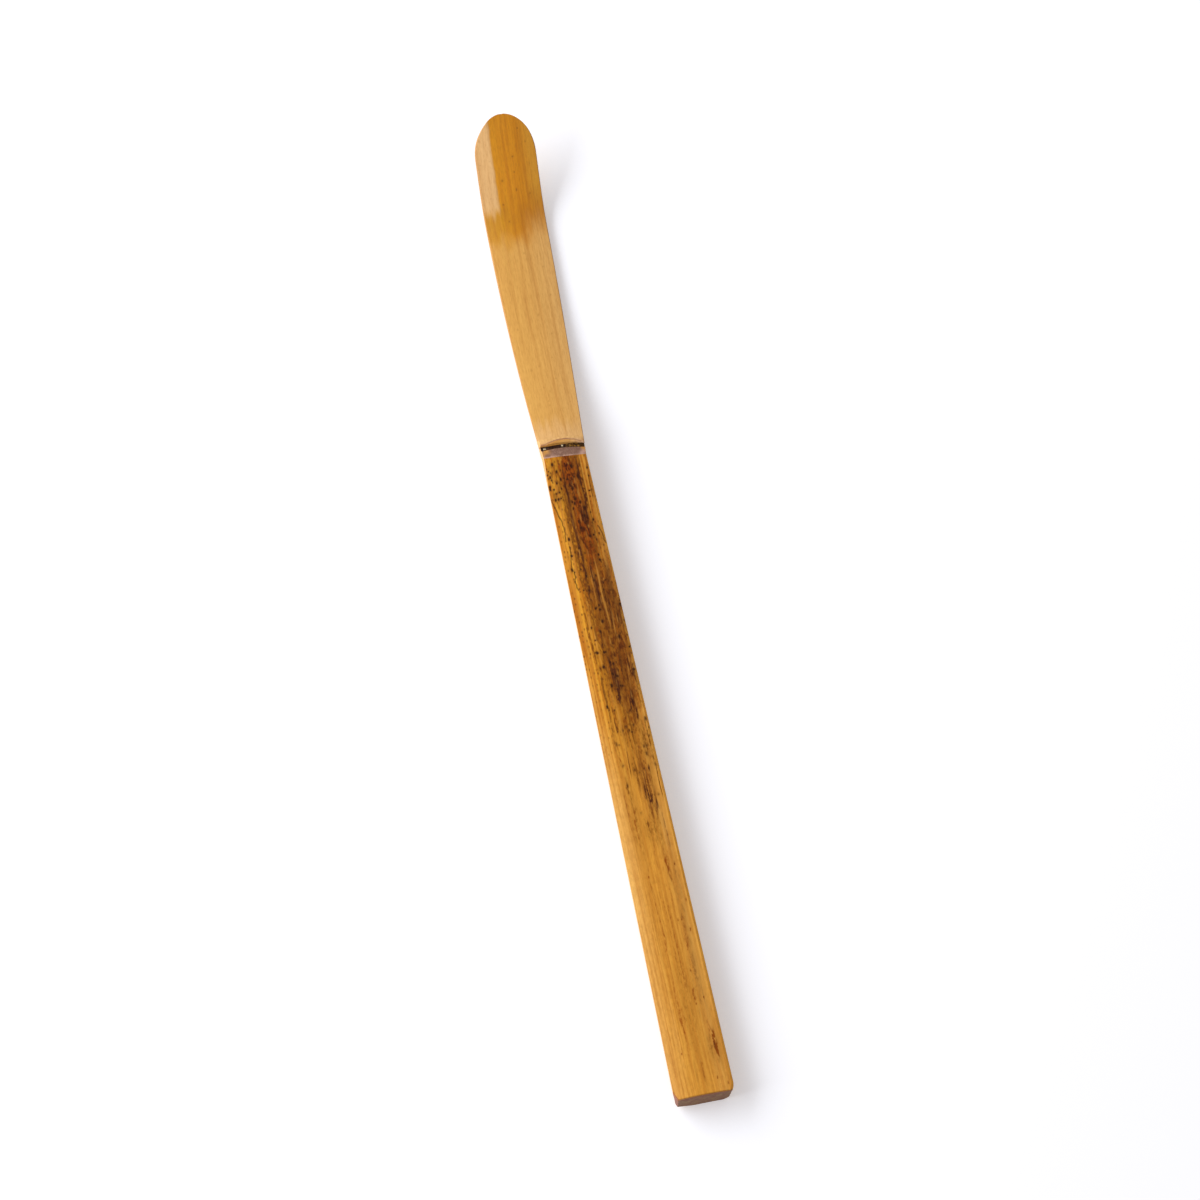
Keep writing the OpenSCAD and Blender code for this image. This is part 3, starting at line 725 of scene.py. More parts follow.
skin_marks = {"pale": long_patches(x, at, 0.4, 37, PALE_AND_SHEEN),
              "smoke": long_patches(x, at, 0.8, 39, SMOKE),
              "ember": np.maximum(long_patches(x, at, 0.5, 41, EMBER), 0.55 * faint),
              "umber": long_patches(x, at, 0.6, 43, UMBER),
              "olive": long_patches(x, at, 0.4, 45, OLIVE),
              "gleam": 0.8 * long_patches(x, at, 0.25, 47, GLINTS_AND_SHEEN),
              "pit": np.maximum(np.maximum(pits, 0.9 * cracks), rim),
              # The right edge is tinted lighter gold: partly the golden skin at the edge, partly painted
              # light against the shade where it rounds away.
              "edge": 0.55 * smooth((0.6 - from_right) / 0.3)}

# Smoked bamboo skin, polished by hand: a hard waxy face with a low gloss, amber over
# straw, with smoke clouds drawn out along the fibres and small dark pits. Its colour also
# holds painted light: a sheen, glints, and a right side painted lighter against its shade.
STRIP_HALF = 5.5


def strip_share(tree, axis, start, end, settings=None):
    """Share of the way between two places on one axis of the strip: 0 across, 1 along."""
    place = add(tree, "Attribute", {"attribute_name": "strip_mm"})
    apart = add(tree, "SeparateXYZ", {}, {0: place.outputs["Vector"]})
    return add(tree, "MapRange", settings, {"Value": apart.outputs[axis], "From Min": start,
                                            "From Max": end})


def tinted(tree, colour, tints, wear=None):
    """Lays tints over a colour where the mesh is marked for them, worn through by a pattern."""
    for label, tint in tints:
        mark = add(tree, "Attribute", {"attribute_name": label})
        share = mark.outputs["Fac"]
        if wear is not None:
            share = add(tree, "Math", {"operation": "MULTIPLY", "use_clamp": True}, {0: share, 1: wear})
        colour = add(tree, "Mix", {"data_type": "RGBA"}, {0: share, 6: colour, 7: tint})
    return colour


def shaded(tree, colour, pattern, share, stops):
    """Darkens a colour where a pattern is low."""
    tone = add(tree, "ValToRGB", {"stops": stops}, {"Fac": pattern})
    return add(tree, "Mix", {"data_type": "RGBA", "blend_type": "MULTIPLY"}, {0: share, 6: colour, 7: tone})


smoked_skin, tree = new_material("bamboo_skin_smoked_polished")
across = strip_share(tree, 0, -STRIP_HALF, STRIP_HALF)
# Both ramps grow lighter towards the right edge: painted light that offsets the shade on the right slope of
# the rounded face.
straw = add(tree, "ValToRGB", {"stops": [(0.04, "#E4A652"), (0.16, "#E2A348"), (0.32, "#DE9D3C"),
                                         (0.5, "#E4A03A"), (0.68, "#E8A540"), (0.82, "#EEAC4C"),
                                         (0.95, "#F2B04C")]}, {"Fac": across})
amber = add(tree, "ValToRGB", {"stops": [(0.1, "#EAA63E"), (0.2, "#E8A22E"), (0.34, "#DE9A26"),
                                         (0.5, "#CE8C1C"), (0.68, "#D08E24"), (0.82, "#F0AC44"),
                                         (0.9, "#FABA58")]}, {"Fac": across})
smoked = strip_share(tree, 1, 50.0, 80.0, {"interpolation_type": "SMOOTHSTEP"})
colour = add(tree, "Mix", {"data_type": "RGBA"}, {0: smoked, 6: straw, 7: amber})
streaks, threads, mottle, grain = [
    add(tree, "TexNoise", {}, {"Vector": in_cells(tree, cells), "Scale": 1.0, "Detail": detail,
                               "Roughness": roughness})
    for cells, detail, roughness in (((0.6667, 28.57, 1.0), 3.0, 0.55), ((0.3333, 16.67, 1.0), 2.0, 0.6),
                                     ((0.625, 2.0, 1.0), 3.0, 0.6), ((0.3846, 1.0, 1.0), 2.0, 0.6))]
worn_threads = add(tree, "Math", {"operation": "MULTIPLY_ADD"}, {0: threads, 1: 8.0, 2: -6.6})
wear = add(tree, "Math", {"operation": "MULTIPLY_ADD"}, {0: grain, 1: 8.0, 2: worn_threads})
colour = tinted(tree, colour, (("smoke", "#A4661A"), ("olive", "#8C540C"), ("ember", "#9C5004"),
                               ("umber", "#5C2E10")), wear)
# The pale tint is partly a painted sheen along the left edge.
colour = tinted(tree, colour, (("pale", "#F4BC66"), ("edge", "#F2AE40")))
smoke = add(tree, "Attribute", {"attribute_name": "smoke"}).outputs["Fac"]
coarse = add(tree, "MapRange", {}, {"Value": smoke, "To Min": 0.12, "To Max": 1.0})
lined = add(tree, "MapRange", {}, {"Value": smoked, "To Min": 0.28, "To Max": 0.72})
colour = shaded(tree, colour, streaks, 0.45, [(0.36, "#DCC69C"), (0.56, "#FFFFFF")])
colour = shaded(tree, colour, threads, lined, [(0.38, "#C89A50"), (0.56, "#FFFFFF")])
colour = shaded(tree, colour, mottle, coarse, [(0.4, "#B08A58"), (0.52, "#FFFFFF")])
colour = shaded(tree, colour, grain, coarse, [(0.4, "#855A2A"), (0.54, "#FFFFFF")])
for cells, rarity, where, most, tint in (((0.5882, 1.0, 1.0), 0.3, smoked, 0.75, "#4A2408"),
                                         ((0.5, 3.333, 1.0), 0.5, smoke, 0.6, "#CC9040")):
    pores = add(tree, "TexVoronoi", {"voronoi_dimensions": "2D"}, {"Vector": in_cells(tree, cells),
                                                                  "Scale": 1.0})
    ink = add(tree, "ValToRGB", {"stops": [(0.12, "#FFFFFF"), (0.32, "#000000")]}, {"Fac": pores})
    chosen = add(tree, "SeparateXYZ", {}, {0: pores.outputs["Color"]})
    here = add(tree, "MapRange", {}, {"Value": chosen, "From Min": rarity, "From Max": 1.0,
                                      "To Max": most})
    strength = add(tree, "Math", {"operation": "MULTIPLY"}, {0: here, 1: where})
    share = add(tree, "Math", {"operation": "MULTIPLY"}, {0: ink, 1: strength})
    colour = add(tree, "Mix", {"data_type": "RGBA"}, {0: share, 6: colour, 7: tint})
# Painted highlights: the glints in gold, then the dark pits.
colour = tinted(tree, colour, (("gleam", "#CC8C38"), ("pit", "#3C1A04")))
height = add(tree, "Math", {"operation": "MULTIPLY_ADD"}, {0: mottle, 1: 0.5, 2: threads})
relief = add(tree, "MapRange", {}, {"Value": smoked, "To Min": 0.08, "To Max": 0.2})
gloss = add(tree, "MapRange", {}, {"Value": threads, "From Min": 0.3, "From Max": 0.7,
                                   "To Min": 0.36, "To Max": 0.5})
surfaced(tree, colour, height, relief, gloss, 1.26)

# The rind where the saw and knife cut through it: a dark orange line around the cut end.
cut_rind, tree = new_material("bamboo_rind_cut")
fibre_tree(tree, "#A8642C", "#7A4018", "#8A4A20", 0.5, 0.5, 0.3)

handle_skin = strip_mesh("handle_smoked_skin", x, at, z, [smoked_skin, pared_edge, cut_rind],
                         np.where(on_trim(x, stations), 2, columns)[:-1], (2, 1), (0, 0), skin_marks)
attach(handle_skin, "root")
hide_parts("handle_skin")

# Node wood: the solid wood inside the node, seen at its sides and in the hollow of the back.
# Its pared left edge shows as a cream strip beside the rings.
SCAR_START = 118.0
RIDGE_START = 118.6
NODE_CORE = CULM_RADIUS - 0.6
BAND_BOW = 0.018
LIP_BOW = 0.019
SCAR_DROP = 0.1


def node_at(x, s):
    """Stations of the node: slanted across the strip, with the scar bowed down at both sides."""
    marks_at = [HANDLE_END, SCAR_START, RIDGE_START, BLADE_START]
    bow = np.interp(s, marks_at, [0, BAND_BOW, LIP_BOW, 0])
    drop = np.interp(s, marks_at, [0, SCAR_DROP, 0, 0])
    return s[:, None] - x * NODE_SLANT - bow[:, None] * x * x - drop[:, None]


stations = np.concatenate([[HANDLE_END], np.linspace(HANDLE_END + JOINT_EDGE, BLADE_START - JOINT_EDGE, 30),
                           [BLADE_START]])
x, z = carved(bar_sections(stations, NODE_CORE), stations, CUT_DEPTH)
node_wood = strip_mesh("node_split_wood", x, node_at(x, stations), z, [split_wood],
                       np.zeros(x.shape[1]), (0, 0), (3, 3))
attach(node_wood, "root")
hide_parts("node_wood")

# Root of the inner wall: the wall that closed the culm at its node, cut flush in the back.
# Its fibres run across the strip, in a tangle, so it shows as a darker, harder patch.
WALL_THICKNESS = 1.6
WALL_TOP = 2.2
WALL_SIDE = 0.5             # height of the wall's straight sides, below its arched top
WALL_SWELL = 0.008
WALL_SWELL_MIDDLE = 0.012
WALL_ROUNDS = [0, 0.15, 0.25, 0.12, 0]
WALL_CELLS = [16, 8, 30, 8]
WALL_STATIONS = 32
WALL_CUT_DEPTH = 0.03

wall_root, tree = new_material("bamboo_inner_wall_pared")
tangle = add(tree, "TexNoise", {}, {"Vector": in_cells(tree, (1.111, 0.3125, 0.3333)), "Scale": 1.0,
                                    "Detail": 5.0, "Roughness": 0.65, "Distortion": 0.6})
tones = add(tree, "ValToRGB", {"stops": [(0.3, "#98692F"), (0.5, "#B88845"), (0.7, "#CDA05C")]},
            {"Fac": tangle})
surfaced(tree, tones, tangle, 0.6, 0.62, 1.5)

wall_middle = (HANDLE_END + BLADE_START) / 2
stations = np.linspace(wall_middle - WALL_THICKNESS / 2, wall_middle + WALL_THICKNESS / 2,
                       WALL_STATIONS)
arch = np.sin(np.linspace(0, math.pi, WALL_STATIONS))
swell = WALL_SWELL + WALL_SWELL_MIDDLE * arch
low = back_height(stations)
wall_top = low + WALL_SIDE + (WALL_TOP - low - WALL_SIDE) * np.sqrt(arch)
wall_x = side_x(stations, low) + swell
top_x = side_x(stations, wall_top) + swell
corners = [pair(-top_x, wall_top), pair(top_x, wall_top),
           pair(wall_x, low - swell * 0.5), pair(-wall_x, low - swell * 0.5),
           pair(-top_x, wall_top - 0.01)]
x, z = carved(softened(corners, WALL_ROUNDS, WALL_CELLS), stations, WALL_CUT_DEPTH)
inner_wall = strip_mesh("inner_wall_root_pared", x, node_at(x, stations), z, [wall_root],
                        np.zeros(x.shape[1]), (0, 0), (3, 3))
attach(inner_wall, "root")
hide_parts("inner_wall_root")

# Node band: the bare ring below the sheath scar, where the culm keeps its waxy bloom. Rubbed
# and smoked, it is a matt mauve brown, worn to honey at both ends and rosy along its rim.
BAND_SINK = 0.1
BAND_CELLS = 96
BAND_RIM = 0.07             # the rim's place and half width, as a share of the band
BAND_RIM_RISE = 0.05
BAND_FALL = 0.16            # how far the band falls away into the scar
BAND_FALL_START = 0.86
BAND_FALL_RUN = 0.14
BAND_ROUND = 0.1
BLOOM_PITS = 0.03           # depth of the dull pitted bloom, and of its fine threads
BLOOM_THREADS = 0.02

node_bloom, tree = new_material("bamboo_bloom_smoked_matt")
mottle = add(tree, "TexNoise", {}, {"Vector": in_cells(tree, (0.3846, 0.4545, 1.0)), "Scale": 1.0,
                                    "Detail": 6.0, "Roughness": 0.7})
bloom = add(tree, "ValToRGB", {"stops": [(0.3, "#6E4A38"), (0.5, "#84604E"), (0.7, "#9A7662")]},
            {"Fac": mottle})
colour = tinted(tree, bloom, (("rose", "#BC9280"), ("honey", "#C4883A"), ("rim", "#D0AE9C"),
                              ("shade", "#3C2410")))
surfaced(tree, colour, mottle, 0.4, 0.6, 1.45)

stations = np.linspace(HANDLE_END, SCAR_START, 36)
x, z, face, columns = shell_sections(stations, CULM_RADIUS - BAND_SINK, NODE_CORE, BAND_CELLS,
                                     node_pare(stations), BAND_ROUND)
at = node_at(x, stations)
up = (stations[:, None] + 0 * x - HANDLE_END) / (SCAR_START - HANDLE_END)
rim = np.exp(-((up - BAND_RIM) / BAND_RIM) ** 2)
z = z + face * (BAND_RIM_RISE * rim - BAND_FALL * smooth((up - BAND_FALL_START) / BAND_FALL_RUN)
                - BLOOM_PITS * cloud(x, at, 0.5, 0.5, 51) - BLOOM_THREADS * cloud(x, at, 0.15, 0.6, 52))
band_marks = {"rose": long_patches(x, at, 0.1, 53, [(-3.0, 116.35, 1.4, 0.4, 1.0),
                                                   (3.5, 116.5, 0.8, 0.6, 1.0),
                                                   (0.5, 116.1, 2.8, 0.2, 0.7)]),
              "honey": long_patches(x, at, 0.1, 55, [(-3.1, 117.45, 0.75, 0.6, 1.0),
                                                    (3.7, 117.2, 0.5, 0.5, 1.0)]),
              "rim": rim * 0.5 * cloud(x, at, 0.5, 1.0, 57),
              "shade": 0.8 * smooth((up - 0.88) / 0.12)}
node_band = strip_mesh("node_bloom_band", x, at, z, [node_bloom, pared_edge], columns, (0, 0), (0, 0),
                       band_marks)
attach(node_band, "root")
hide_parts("node_band")

# Sheath scar: the groove where the leaf sheath broke away. Torn fibres and old wax fill it,
# black on the left and flecked with gold on the right, with two crumbs of dry husk painted
# near-white: their cream colour with a painted highlight on them.
SCAR_SINK = 0.4
SCAR_CELLS = 110
HUSK_AND_GLINTS = [(-3.2, 118.2), (-3.04, 118.2), (-2.9, 118.17), (0.04, 118.21), (0.16, 118.25)]
HUSK_RISE = 0.06
FLECK_RISE = 0.04
TORN_RISE = 0.12
SCAR_EDGE_RISE = 0.1
HUSK_AND_GLINT_SIZE = 0.06
SCAR_ROUNDS = (0.2, 0.03)    # how far its left and its right edge are rounded in
FLECKS_START = 0.6          # the gold flecks lie between these places across the strip
FLECKS_END = 3.5
CREAM_START = -3.7
CREAM_RISE = 0.34           # at the left the pared wood stands up level with the rings

scar_wax, tree = new_material("sheath_scar_torn_waxy")
torn = add(tree, "TexNoise", {}, {"Vector": in_cells(tree, (0.2857, 0.16667, 0.5)), "Scale": 1.0,
                                  "Detail": 5.0, "Roughness": 0.6})
blacks = add(tree, "ValToRGB", {"stops": [(0.35, "#1C0C04"), (0.55, "#32180A"), (0.72, "#6A3412")]},
             {"Fac": torn})
# Near-white cream on the husk crumbs: partly a painted highlight.
colour = tinted(tree, blacks, (("brown", "#4E3410"), ("honey", "#B07E2C"), ("husk", "#F6E2B8"),
                               ("cream", "#E8B476")))
surfaced(tree, colour, torn, 0.8, 0.42, 1.26)

stations = np.linspace(SCAR_START, RIDGE_START, 16)
x, z, face, columns = shell_sections(stations, CULM_RADIUS - SCAR_SINK, NODE_CORE, SCAR_CELLS,
                                     *SCAR_ROUNDS)
at = node_at(x, stations)
up = (stations[:, None] + 0 * x - SCAR_START) / (RIDGE_START - SCAR_START)
husk = np.minimum(1.4 * speckled(x, at, HUSK_AND_GLINTS, HUSK_AND_GLINT_SIZE, 61), 1)
flecked = smooth((x - FLECKS_START) / 0.4) * smooth((FLECKS_END - x) / 0.8)
torn_x, torn_s = x + 0.7 * at, at - 0.5 * x
torn_gold = 0.6 * cloud(torn_x, torn_s, 0.24, 0.17, 62) + 0.4 * cloud(torn_s, torn_x, 0.1, 0.13, 64)
fleck = flecked * smooth((torn_gold - 0.5) / 0.2)
cream = smooth((CREAM_START - x) / 0.12)
z = z + face * (HUSK_RISE * husk + FLECK_RISE * fleck + TORN_RISE * cloud(x, at, 0.2, 0.5, 63)
                + SCAR_EDGE_RISE * (2 * up - 1) ** 2 + CREAM_RISE * cream)
scar_marks = {"brown": smooth((x - 0.2) / 1.2) * 0.75, "honey": fleck * 0.75, "husk": husk,
              "cream": cream}
sheath_scar = strip_mesh("sheath_scar_groove", x, at, z, [scar_wax, pared_edge], np.zeros(x.shape[1]),
                         (0, 0), (0, 0), scar_marks)
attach(sheath_scar, "root")
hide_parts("sheath_scar")

# Node lip: the swollen edge above the scar. Its rim is golden skin, and a rusty line arches
# over it where the paler, scraped skin of the blade begins.
RIDGE_RISE = 0.1
LIP_CELLS = 100
LIP_HALF = 4.3
ARCH_HALF = 3.1
ARCH_RISE = 0.68
ARCH_START = 118.62
ARCH_SLANT = 0.07
ARCH_MIDDLE = 0.3
ARCH_WAVE = 0.1
LIP_EDGE = 0.1              # the lip ends over this length at its arch
LIP_STEP = 0.06
LIP_ROUNDS = (0.3, 0.1)
LIP_GROOVE = 0.05
LIP_FOOT = 0.12             # the lip rises out of the scar over this length
LIP_FOOT_DROP = 0.1
RUST_HALF = 0.11
RUST_END = 3.9
STRAW_START = 118.9
STRAW_RUN = 0.8

lip_skin, tree = new_material("bamboo_node_lip_rubbed")
across = strip_share(tree, 0, -LIP_HALF, LIP_HALF)
pale = add(tree, "ValToRGB", {"stops": [(0.0, "#E3AE68"), (0.4, "#E4B67C"), (0.62, "#DDB283"),
                                        (1.0, "#D9A970")]}, {"Fac": across})
gold = add(tree, "ValToRGB", {"stops": [(0.15, "#C08436"), (0.45, "#CE9442"), (0.7, "#D6A25A"),
                                        (0.95, "#DDB288")]}, {"Fac": across})
cloudy = add(tree, "TexNoise", {}, {"Vector": in_cells(tree, (0.4545, 0.8333, 1.0)), "Scale": 1.0,
                                    "Detail": 4.0})
colour = tinted(tree, pale, (("straw", "#ECBB74"), ("lip", gold)))
colour = shaded(tree, colour, cloudy, 0.8, [(0.3, "#DCCDBA"), (0.7, "#FFFFFF")])
colour = tinted(tree, colour, [("rust", "#9C6648")])
surfaced(tree, colour, cloudy, 0.3, 0.5, 1.5)

stations = np.append(np.linspace(RIDGE_START, BLADE_START - JOINT_EDGE, 30), BLADE_START)
x, z, face, columns = shell_sections(stations, CULM_RADIUS, NODE_CORE, LIP_CELLS, *LIP_ROUNDS)
at = node_at(x, stations)
arch = ARCH_START - ARCH_SLANT * x + np.maximum(
    ARCH_RISE * (1 - ((x - ARCH_MIDDLE) / ARCH_HALF) ** 2), 0.02)
arch = arch + ARCH_WAVE * (cloud(x, 0 * x, 0.6, 1.0, 71) - 0.5)
past = at - arch
lip = smooth(-past / LIP_EDGE)
rust = np.exp(-((past - 0.03) / RUST_HALF) ** 2) * (0.65 + 0.5 * cloud(x, at, 0.5, 1.0, 72))
rise = RIDGE_RISE * smooth((BLADE_START - stations[:, None]) / (BLADE_START - RIDGE_START))
low_edge = smooth((stations[:, None] - RIDGE_START) / LIP_FOOT)
groove = np.exp(-(past / LIP_EDGE) ** 2)
z = z + face * (rise + LIP_STEP * lip - LIP_GROOVE * groove - LIP_FOOT_DROP * (1 - low_edge))
lip_marks = {"lip": lip, "rust": np.clip(rust * smooth((RUST_END - np.abs(x)) / 0.5), 0, 1),
             "straw": smooth((stations[:, None] + 0 * x - STRAW_START) / STRAW_RUN)}
node_lip = strip_mesh("node_lip_rubbed", x, at, z, [lip_skin, pared_edge], columns, (0, 0), (0, 0),
                      lip_marks)
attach(node_lip, "root")
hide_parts("node_ridge")

# Blade wood: the upper half of the strip, pared down behind until it is thin enough to bend.
# It was held over heat, turned up into the scoop, and its end rounded and bevelled.
BLADE_LENGTH = 38.4
HEEL_THICKNESS = 1.7
BLADE_FALL = 2.7
BEND = math.radians(27)
BEND_RADIUS = 16.0
SCOOP_LENGTH = 14.6
CURL = math.radians(6)
SCOOP_WIDTH = 10.8
ROUND_LENGTH = 8.2
TIP_THICKNESS = 0.9
TIP_BEVEL = 1.2
CREASE = 2.5
CREASE_ROUND = 0.03         # rounds off the crease, in square mm
SHOULDER = math.tan(math.radians(14))
DISH_DEPTH = 0.2
NODE_TURN = math.tan(math.radians(1.3))
LAST_ROUND = 0.995
NARROWING = 2.35
FACET_X = 0.42
FACET_Z = 0.55
WAIST_FACET = 0.25
WIDEST_FACET = 0.6
BACK_CELLS = 44
FACET_CELLS = 10
ROUND_CELLS = 4
BACK_ROUNDS = [0, 0.2, 0.4, 0.4, 0.2, 0]
CUTS_START = 0.5            # the knife's marks start this far below the face
bend_run = BEND_RADIUS * BEND
curl_radius = SCOOP_LENGTH / CURL
blade_run = BLADE_LENGTH + bend_run + SCOOP_LENGTH
dish_half = (SCOOP_WIDTH / 2 + CREASE) / 2


def lean(v):
    """How far the strip is bent up at v, the distance along it from the lip."""
    past = np.maximum(0, v - BLADE_LENGTH)
    return np.minimum(BEND, past / BEND_RADIUS) + np.maximum(0, past - bend_run) / SCOOP_LENGTH * CURL


def crown(v):
    """Place of the crown of the face at v, along the strip and above the table."""
    turned = lean(v)
    bent = np.minimum(turned, BEND)
    fall = np.clip(1 - v / BLADE_LENGTH, 0, 1) ** BLADE_FALL
    flat_z = HEEL_THICKNESS + (HANDLE_HEIGHT - HEEL_THICKNESS) * fall
    bent_s = HEEL + BEND_RADIUS * np.sin(bent) + curl_radius * (np.sin(turned) - np.sin(bent))
    bent_z = (HEEL_THICKNESS + BEND_RADIUS * (1 - np.cos(bent))
              + curl_radius * (np.cos(bent) - np.cos(turned)))
    straight = v <= BLADE_LENGTH
    return np.where(straight, BLADE_START + v, bent_s), np.where(straight, flat_z, bent_z)


def round_share(v, most):
    """How far along the rounded end v is."""
    return np.clip(1 - (blade_run - v) / ROUND_LENGTH, 0, most)


def blade_half(v):
    """Half the width of the strip at v."""
    share = np.clip(1 - (v + BLADE_START - HANDLE_END) / (blade_run - ROUND_LENGTH), 0, 1)
    full = SCOOP_WIDTH + (NODE_WIDTH - SCOOP_WIDTH) * share ** NARROWING
    return full / 2 * np.sqrt(1 - round_share(v, LAST_ROUND) ** 2)


def blade_thickness(v):
    """Thickness of the strip at v."""
    share = np.clip((v - BLADE_LENGTH) / (blade_run - BLADE_LENGTH), 0, 1)
    return np.where(v <= BLADE_LENGTH, crown(v)[1] - back_height(BLADE_START + v),
                    HEEL_THICKNESS + (TIP_THICKNESS - HEEL_THICKNESS) * share)


def scoop_share(v):
    """How far the scoop's own shape has taken over from the flat of the blade."""
    return smooth(np.maximum(0, v - BLADE_LENGTH) / (bend_run + SCOOP_LENGTH / 2))


def face_depth(v, x):
    """Depth of the face below its crown: round, with a shoulder and a dish in the scoop."""
    fade = scoop_share(v)
    sag = CULM_RADIUS - np.sqrt(CULM_RADIUS ** 2 - x * x)
    past_crease = -CREASE - x
    shoulder = SHOULDER * (past_crease + np.sqrt(past_crease ** 2 + CREASE_ROUND)) / 2
    from_dish = (x + CREASE - dish_half) / dish_half
    dish = DISH_DEPTH * np.maximum(0, 1 - from_dish ** 2)
    return sag * (1 - fade / 2) + fade * (shoulder + dish)


def back_depth(v, x):
    """Depth of the back below the crown."""
    return blade_thickness(v) + scoop_share(v) * face_depth(v, x)


def placed(v, x, deep):
    """Puts places across the blade and below its crown in the row's frame."""
    v = v[:, None]
    s, z = crown(v)
    turned = lean(v)
    slant = NODE_SLANT * np.clip(1 - v / BLADE_LENGTH, 0, 1) ** 3
    bevel = TIP_BEVEL * round_share(v, 1) ** 2 / blade_thickness(v)
    aside = (s - BLADE_START) * NODE_TURN
    return np.stack([x + aside - LEFT_OF_MIDDLE,
                     s + deep * (np.sin(turned) - bevel * np.cos(turned)) - x * slant - BUTT_TO_MIDDLE,
                     z - deep * (np.cos(turned) + bevel * np.sin(turned))], axis=-1)


def blade_stations(count, round_count):
    """Stations from the lip to the tip, closer where the end is rounded."""
    straight = np.linspace(0, blade_run - ROUND_LENGTH, count, endpoint=False)
    turn = np.sin(np.linspace(0, math.pi / 2, round_count)) * LAST_ROUND
    return np.concatenate([[0, JOINT_EDGE], straight[1:], blade_run - ROUND_LENGTH + ROUND_LENGTH * turn])


def leaned(v, depth):
    """How far the leaning sides of the node still draw the blade in at a depth below its face."""
    return (1 - smooth(v / BLADE_LENGTH)) * SIDE_LEAN * (face_depth(v, blade_half(v)) + depth)


v = blade_stations(260, 60)
half = blade_half(v)
share = smooth(v / BLADE_LENGTH)
top_half = half - leaned(v, SKIN_DEPTH)
top_x = top_half[:, None] * np.linspace(-1, 1, TOP_CELLS + 1)[None, :]
top = pair(top_x, face_depth(v[:, None], top_x) + SKIN_DEPTH)
corners = [top[:, -1]]
for side in (1, -1):
    edge_depth = back_depth(v, side * half)
    edge = edge_depth - face_depth(v, side * half) - SKIN_DEPTH
    facet = (1 - share) * np.minimum(WAIST_FACET, edge / 2) + share * FACET_Z * edge
    low = side * (top_half - (edge - facet) * SIDE_LEAN)
    facet_x = (1 - share) * WAIST_FACET + share * FACET_X * half
    flat_x = low - side * np.minimum(facet_x, WIDEST_FACET * half)
    lower = pair(low, edge_depth - facet)
    flat = pair(flat_x, back_depth(v, flat_x))
    corners += [lower, flat] if side == 1 else [flat, lower]
corners.append(top[:, 0])
back_cells = [FACET_CELLS, FACET_CELLS, BACK_CELLS, FACET_CELLS, FACET_CELLS]
rest = softened(corners, BACK_ROUNDS, back_cells, ROUND_CELLS)
flat_start = 2 * (FACET_CELLS + ROUND_CELLS)
back = slice(flat_start, flat_start + BACK_CELLS)
rest[:, back, 1] = back_depth(v[:, None], rest[:, back, 0])
section = np.concatenate([top[:, :-1], rest], axis=1)
x, deep = section[..., 0], section[..., 1]
inward = -outward(np.stack([x, -deep], axis=-1))
along = BLADE_START + v[:, None] + 0 * x
face_at = face_depth(v[:, None], np.clip(x, -half[:, None], half[:, None]))
cut = knife_marks(x + AROUND * (HANDLE_HEIGHT - deep), along, CUT_DEPTH)
cut = cut * (deep > face_at + CUTS_START)
x, deep = x + inward[..., 0] * cut, deep - inward[..., 1] * cut
blade_wood = closed_mesh("blade_split_wood", placed(v, x, deep), np.stack([x, along, deep], axis=-1),
                         [split_wood], np.zeros(x.shape[1]), (0, 0), (3, 3))
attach(blade_wood, "root")
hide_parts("blade_wood")

# Blade skin: the same rind above the node, grown under the sheath and so never smoked. It is
# pale straw with fine dark dashes, and the heat of bending has toasted the scoop.
SKIN_ACROSS = 104
EDGE_ROUND = 0.12
EDGE_DROP = 0.14
EDGE_TURN = 0.06
BLADE_GRAIN = 0.02
SPECK_DEPTH = 0.01
UNDERSIDE_CELLS = 24
FRAYED = 2.2                # how far the toast's edge frays along the strip
CREASE_FRAY = 0.2
CREASE_SOFT = 0.55
TOAST_START = 154.6         # where the toast starts in the middle, at the left and at the right
LEFT_TOAST_START = 156.0
LEFT_TOAST_END = 164.2
RIGHT_TOAST_START = 155.6
GOLD_START = 160.5
SHEEN_BAND_START = 161.0
NODE_PALE_END = 124.0
TOAST_SPECK = 0.14
BLADE_SPECK = 0.12
TOAST_SPECKS = [(1.05, 169.2), (1.1, 172.0), (1.0, 166.0), (-1.15, 160.7), (3.3, 165.0),
                (3.7, 174.3), (-1.3, 168.0), (2.6, 177.0), (-1.7, 163.8)]
BLADE_SPECKS = [(-0.65, 126.8), (-0.55, 126.0), (3.1, 126.2), (1.3, 123.6), (1.5, 130.8),
                (-0.9, 129.4), (0.0, 128.6), (-1.0, 133.6), (1.6, 134.8), (3.6, 146.3),
                (-2.4, 133.0), (2.4, 139.2), (3.2, 151.6), (0.7, 143.0), (-3.4, 141.0),
                (-4.4, 175.8), (-4.7, 171.3), (-3.0, 171.8), (0.3, 154.6), (-3.7, 165.2)]

# Scraped bamboo skin, rubbed with a cloth: a satin face over fine lengthwise grain, straw
# below the bend, toasted orange gold above it and peach near the node. Left of the crease
# the scoop's shoulder is painted pale peach too: a painted sheen where the light falls on it.
pale_skin, tree = new_material("bamboo_skin_pale_scraped")
across = strip_share(tree, 0, -STRIP_HALF, STRIP_HALF)
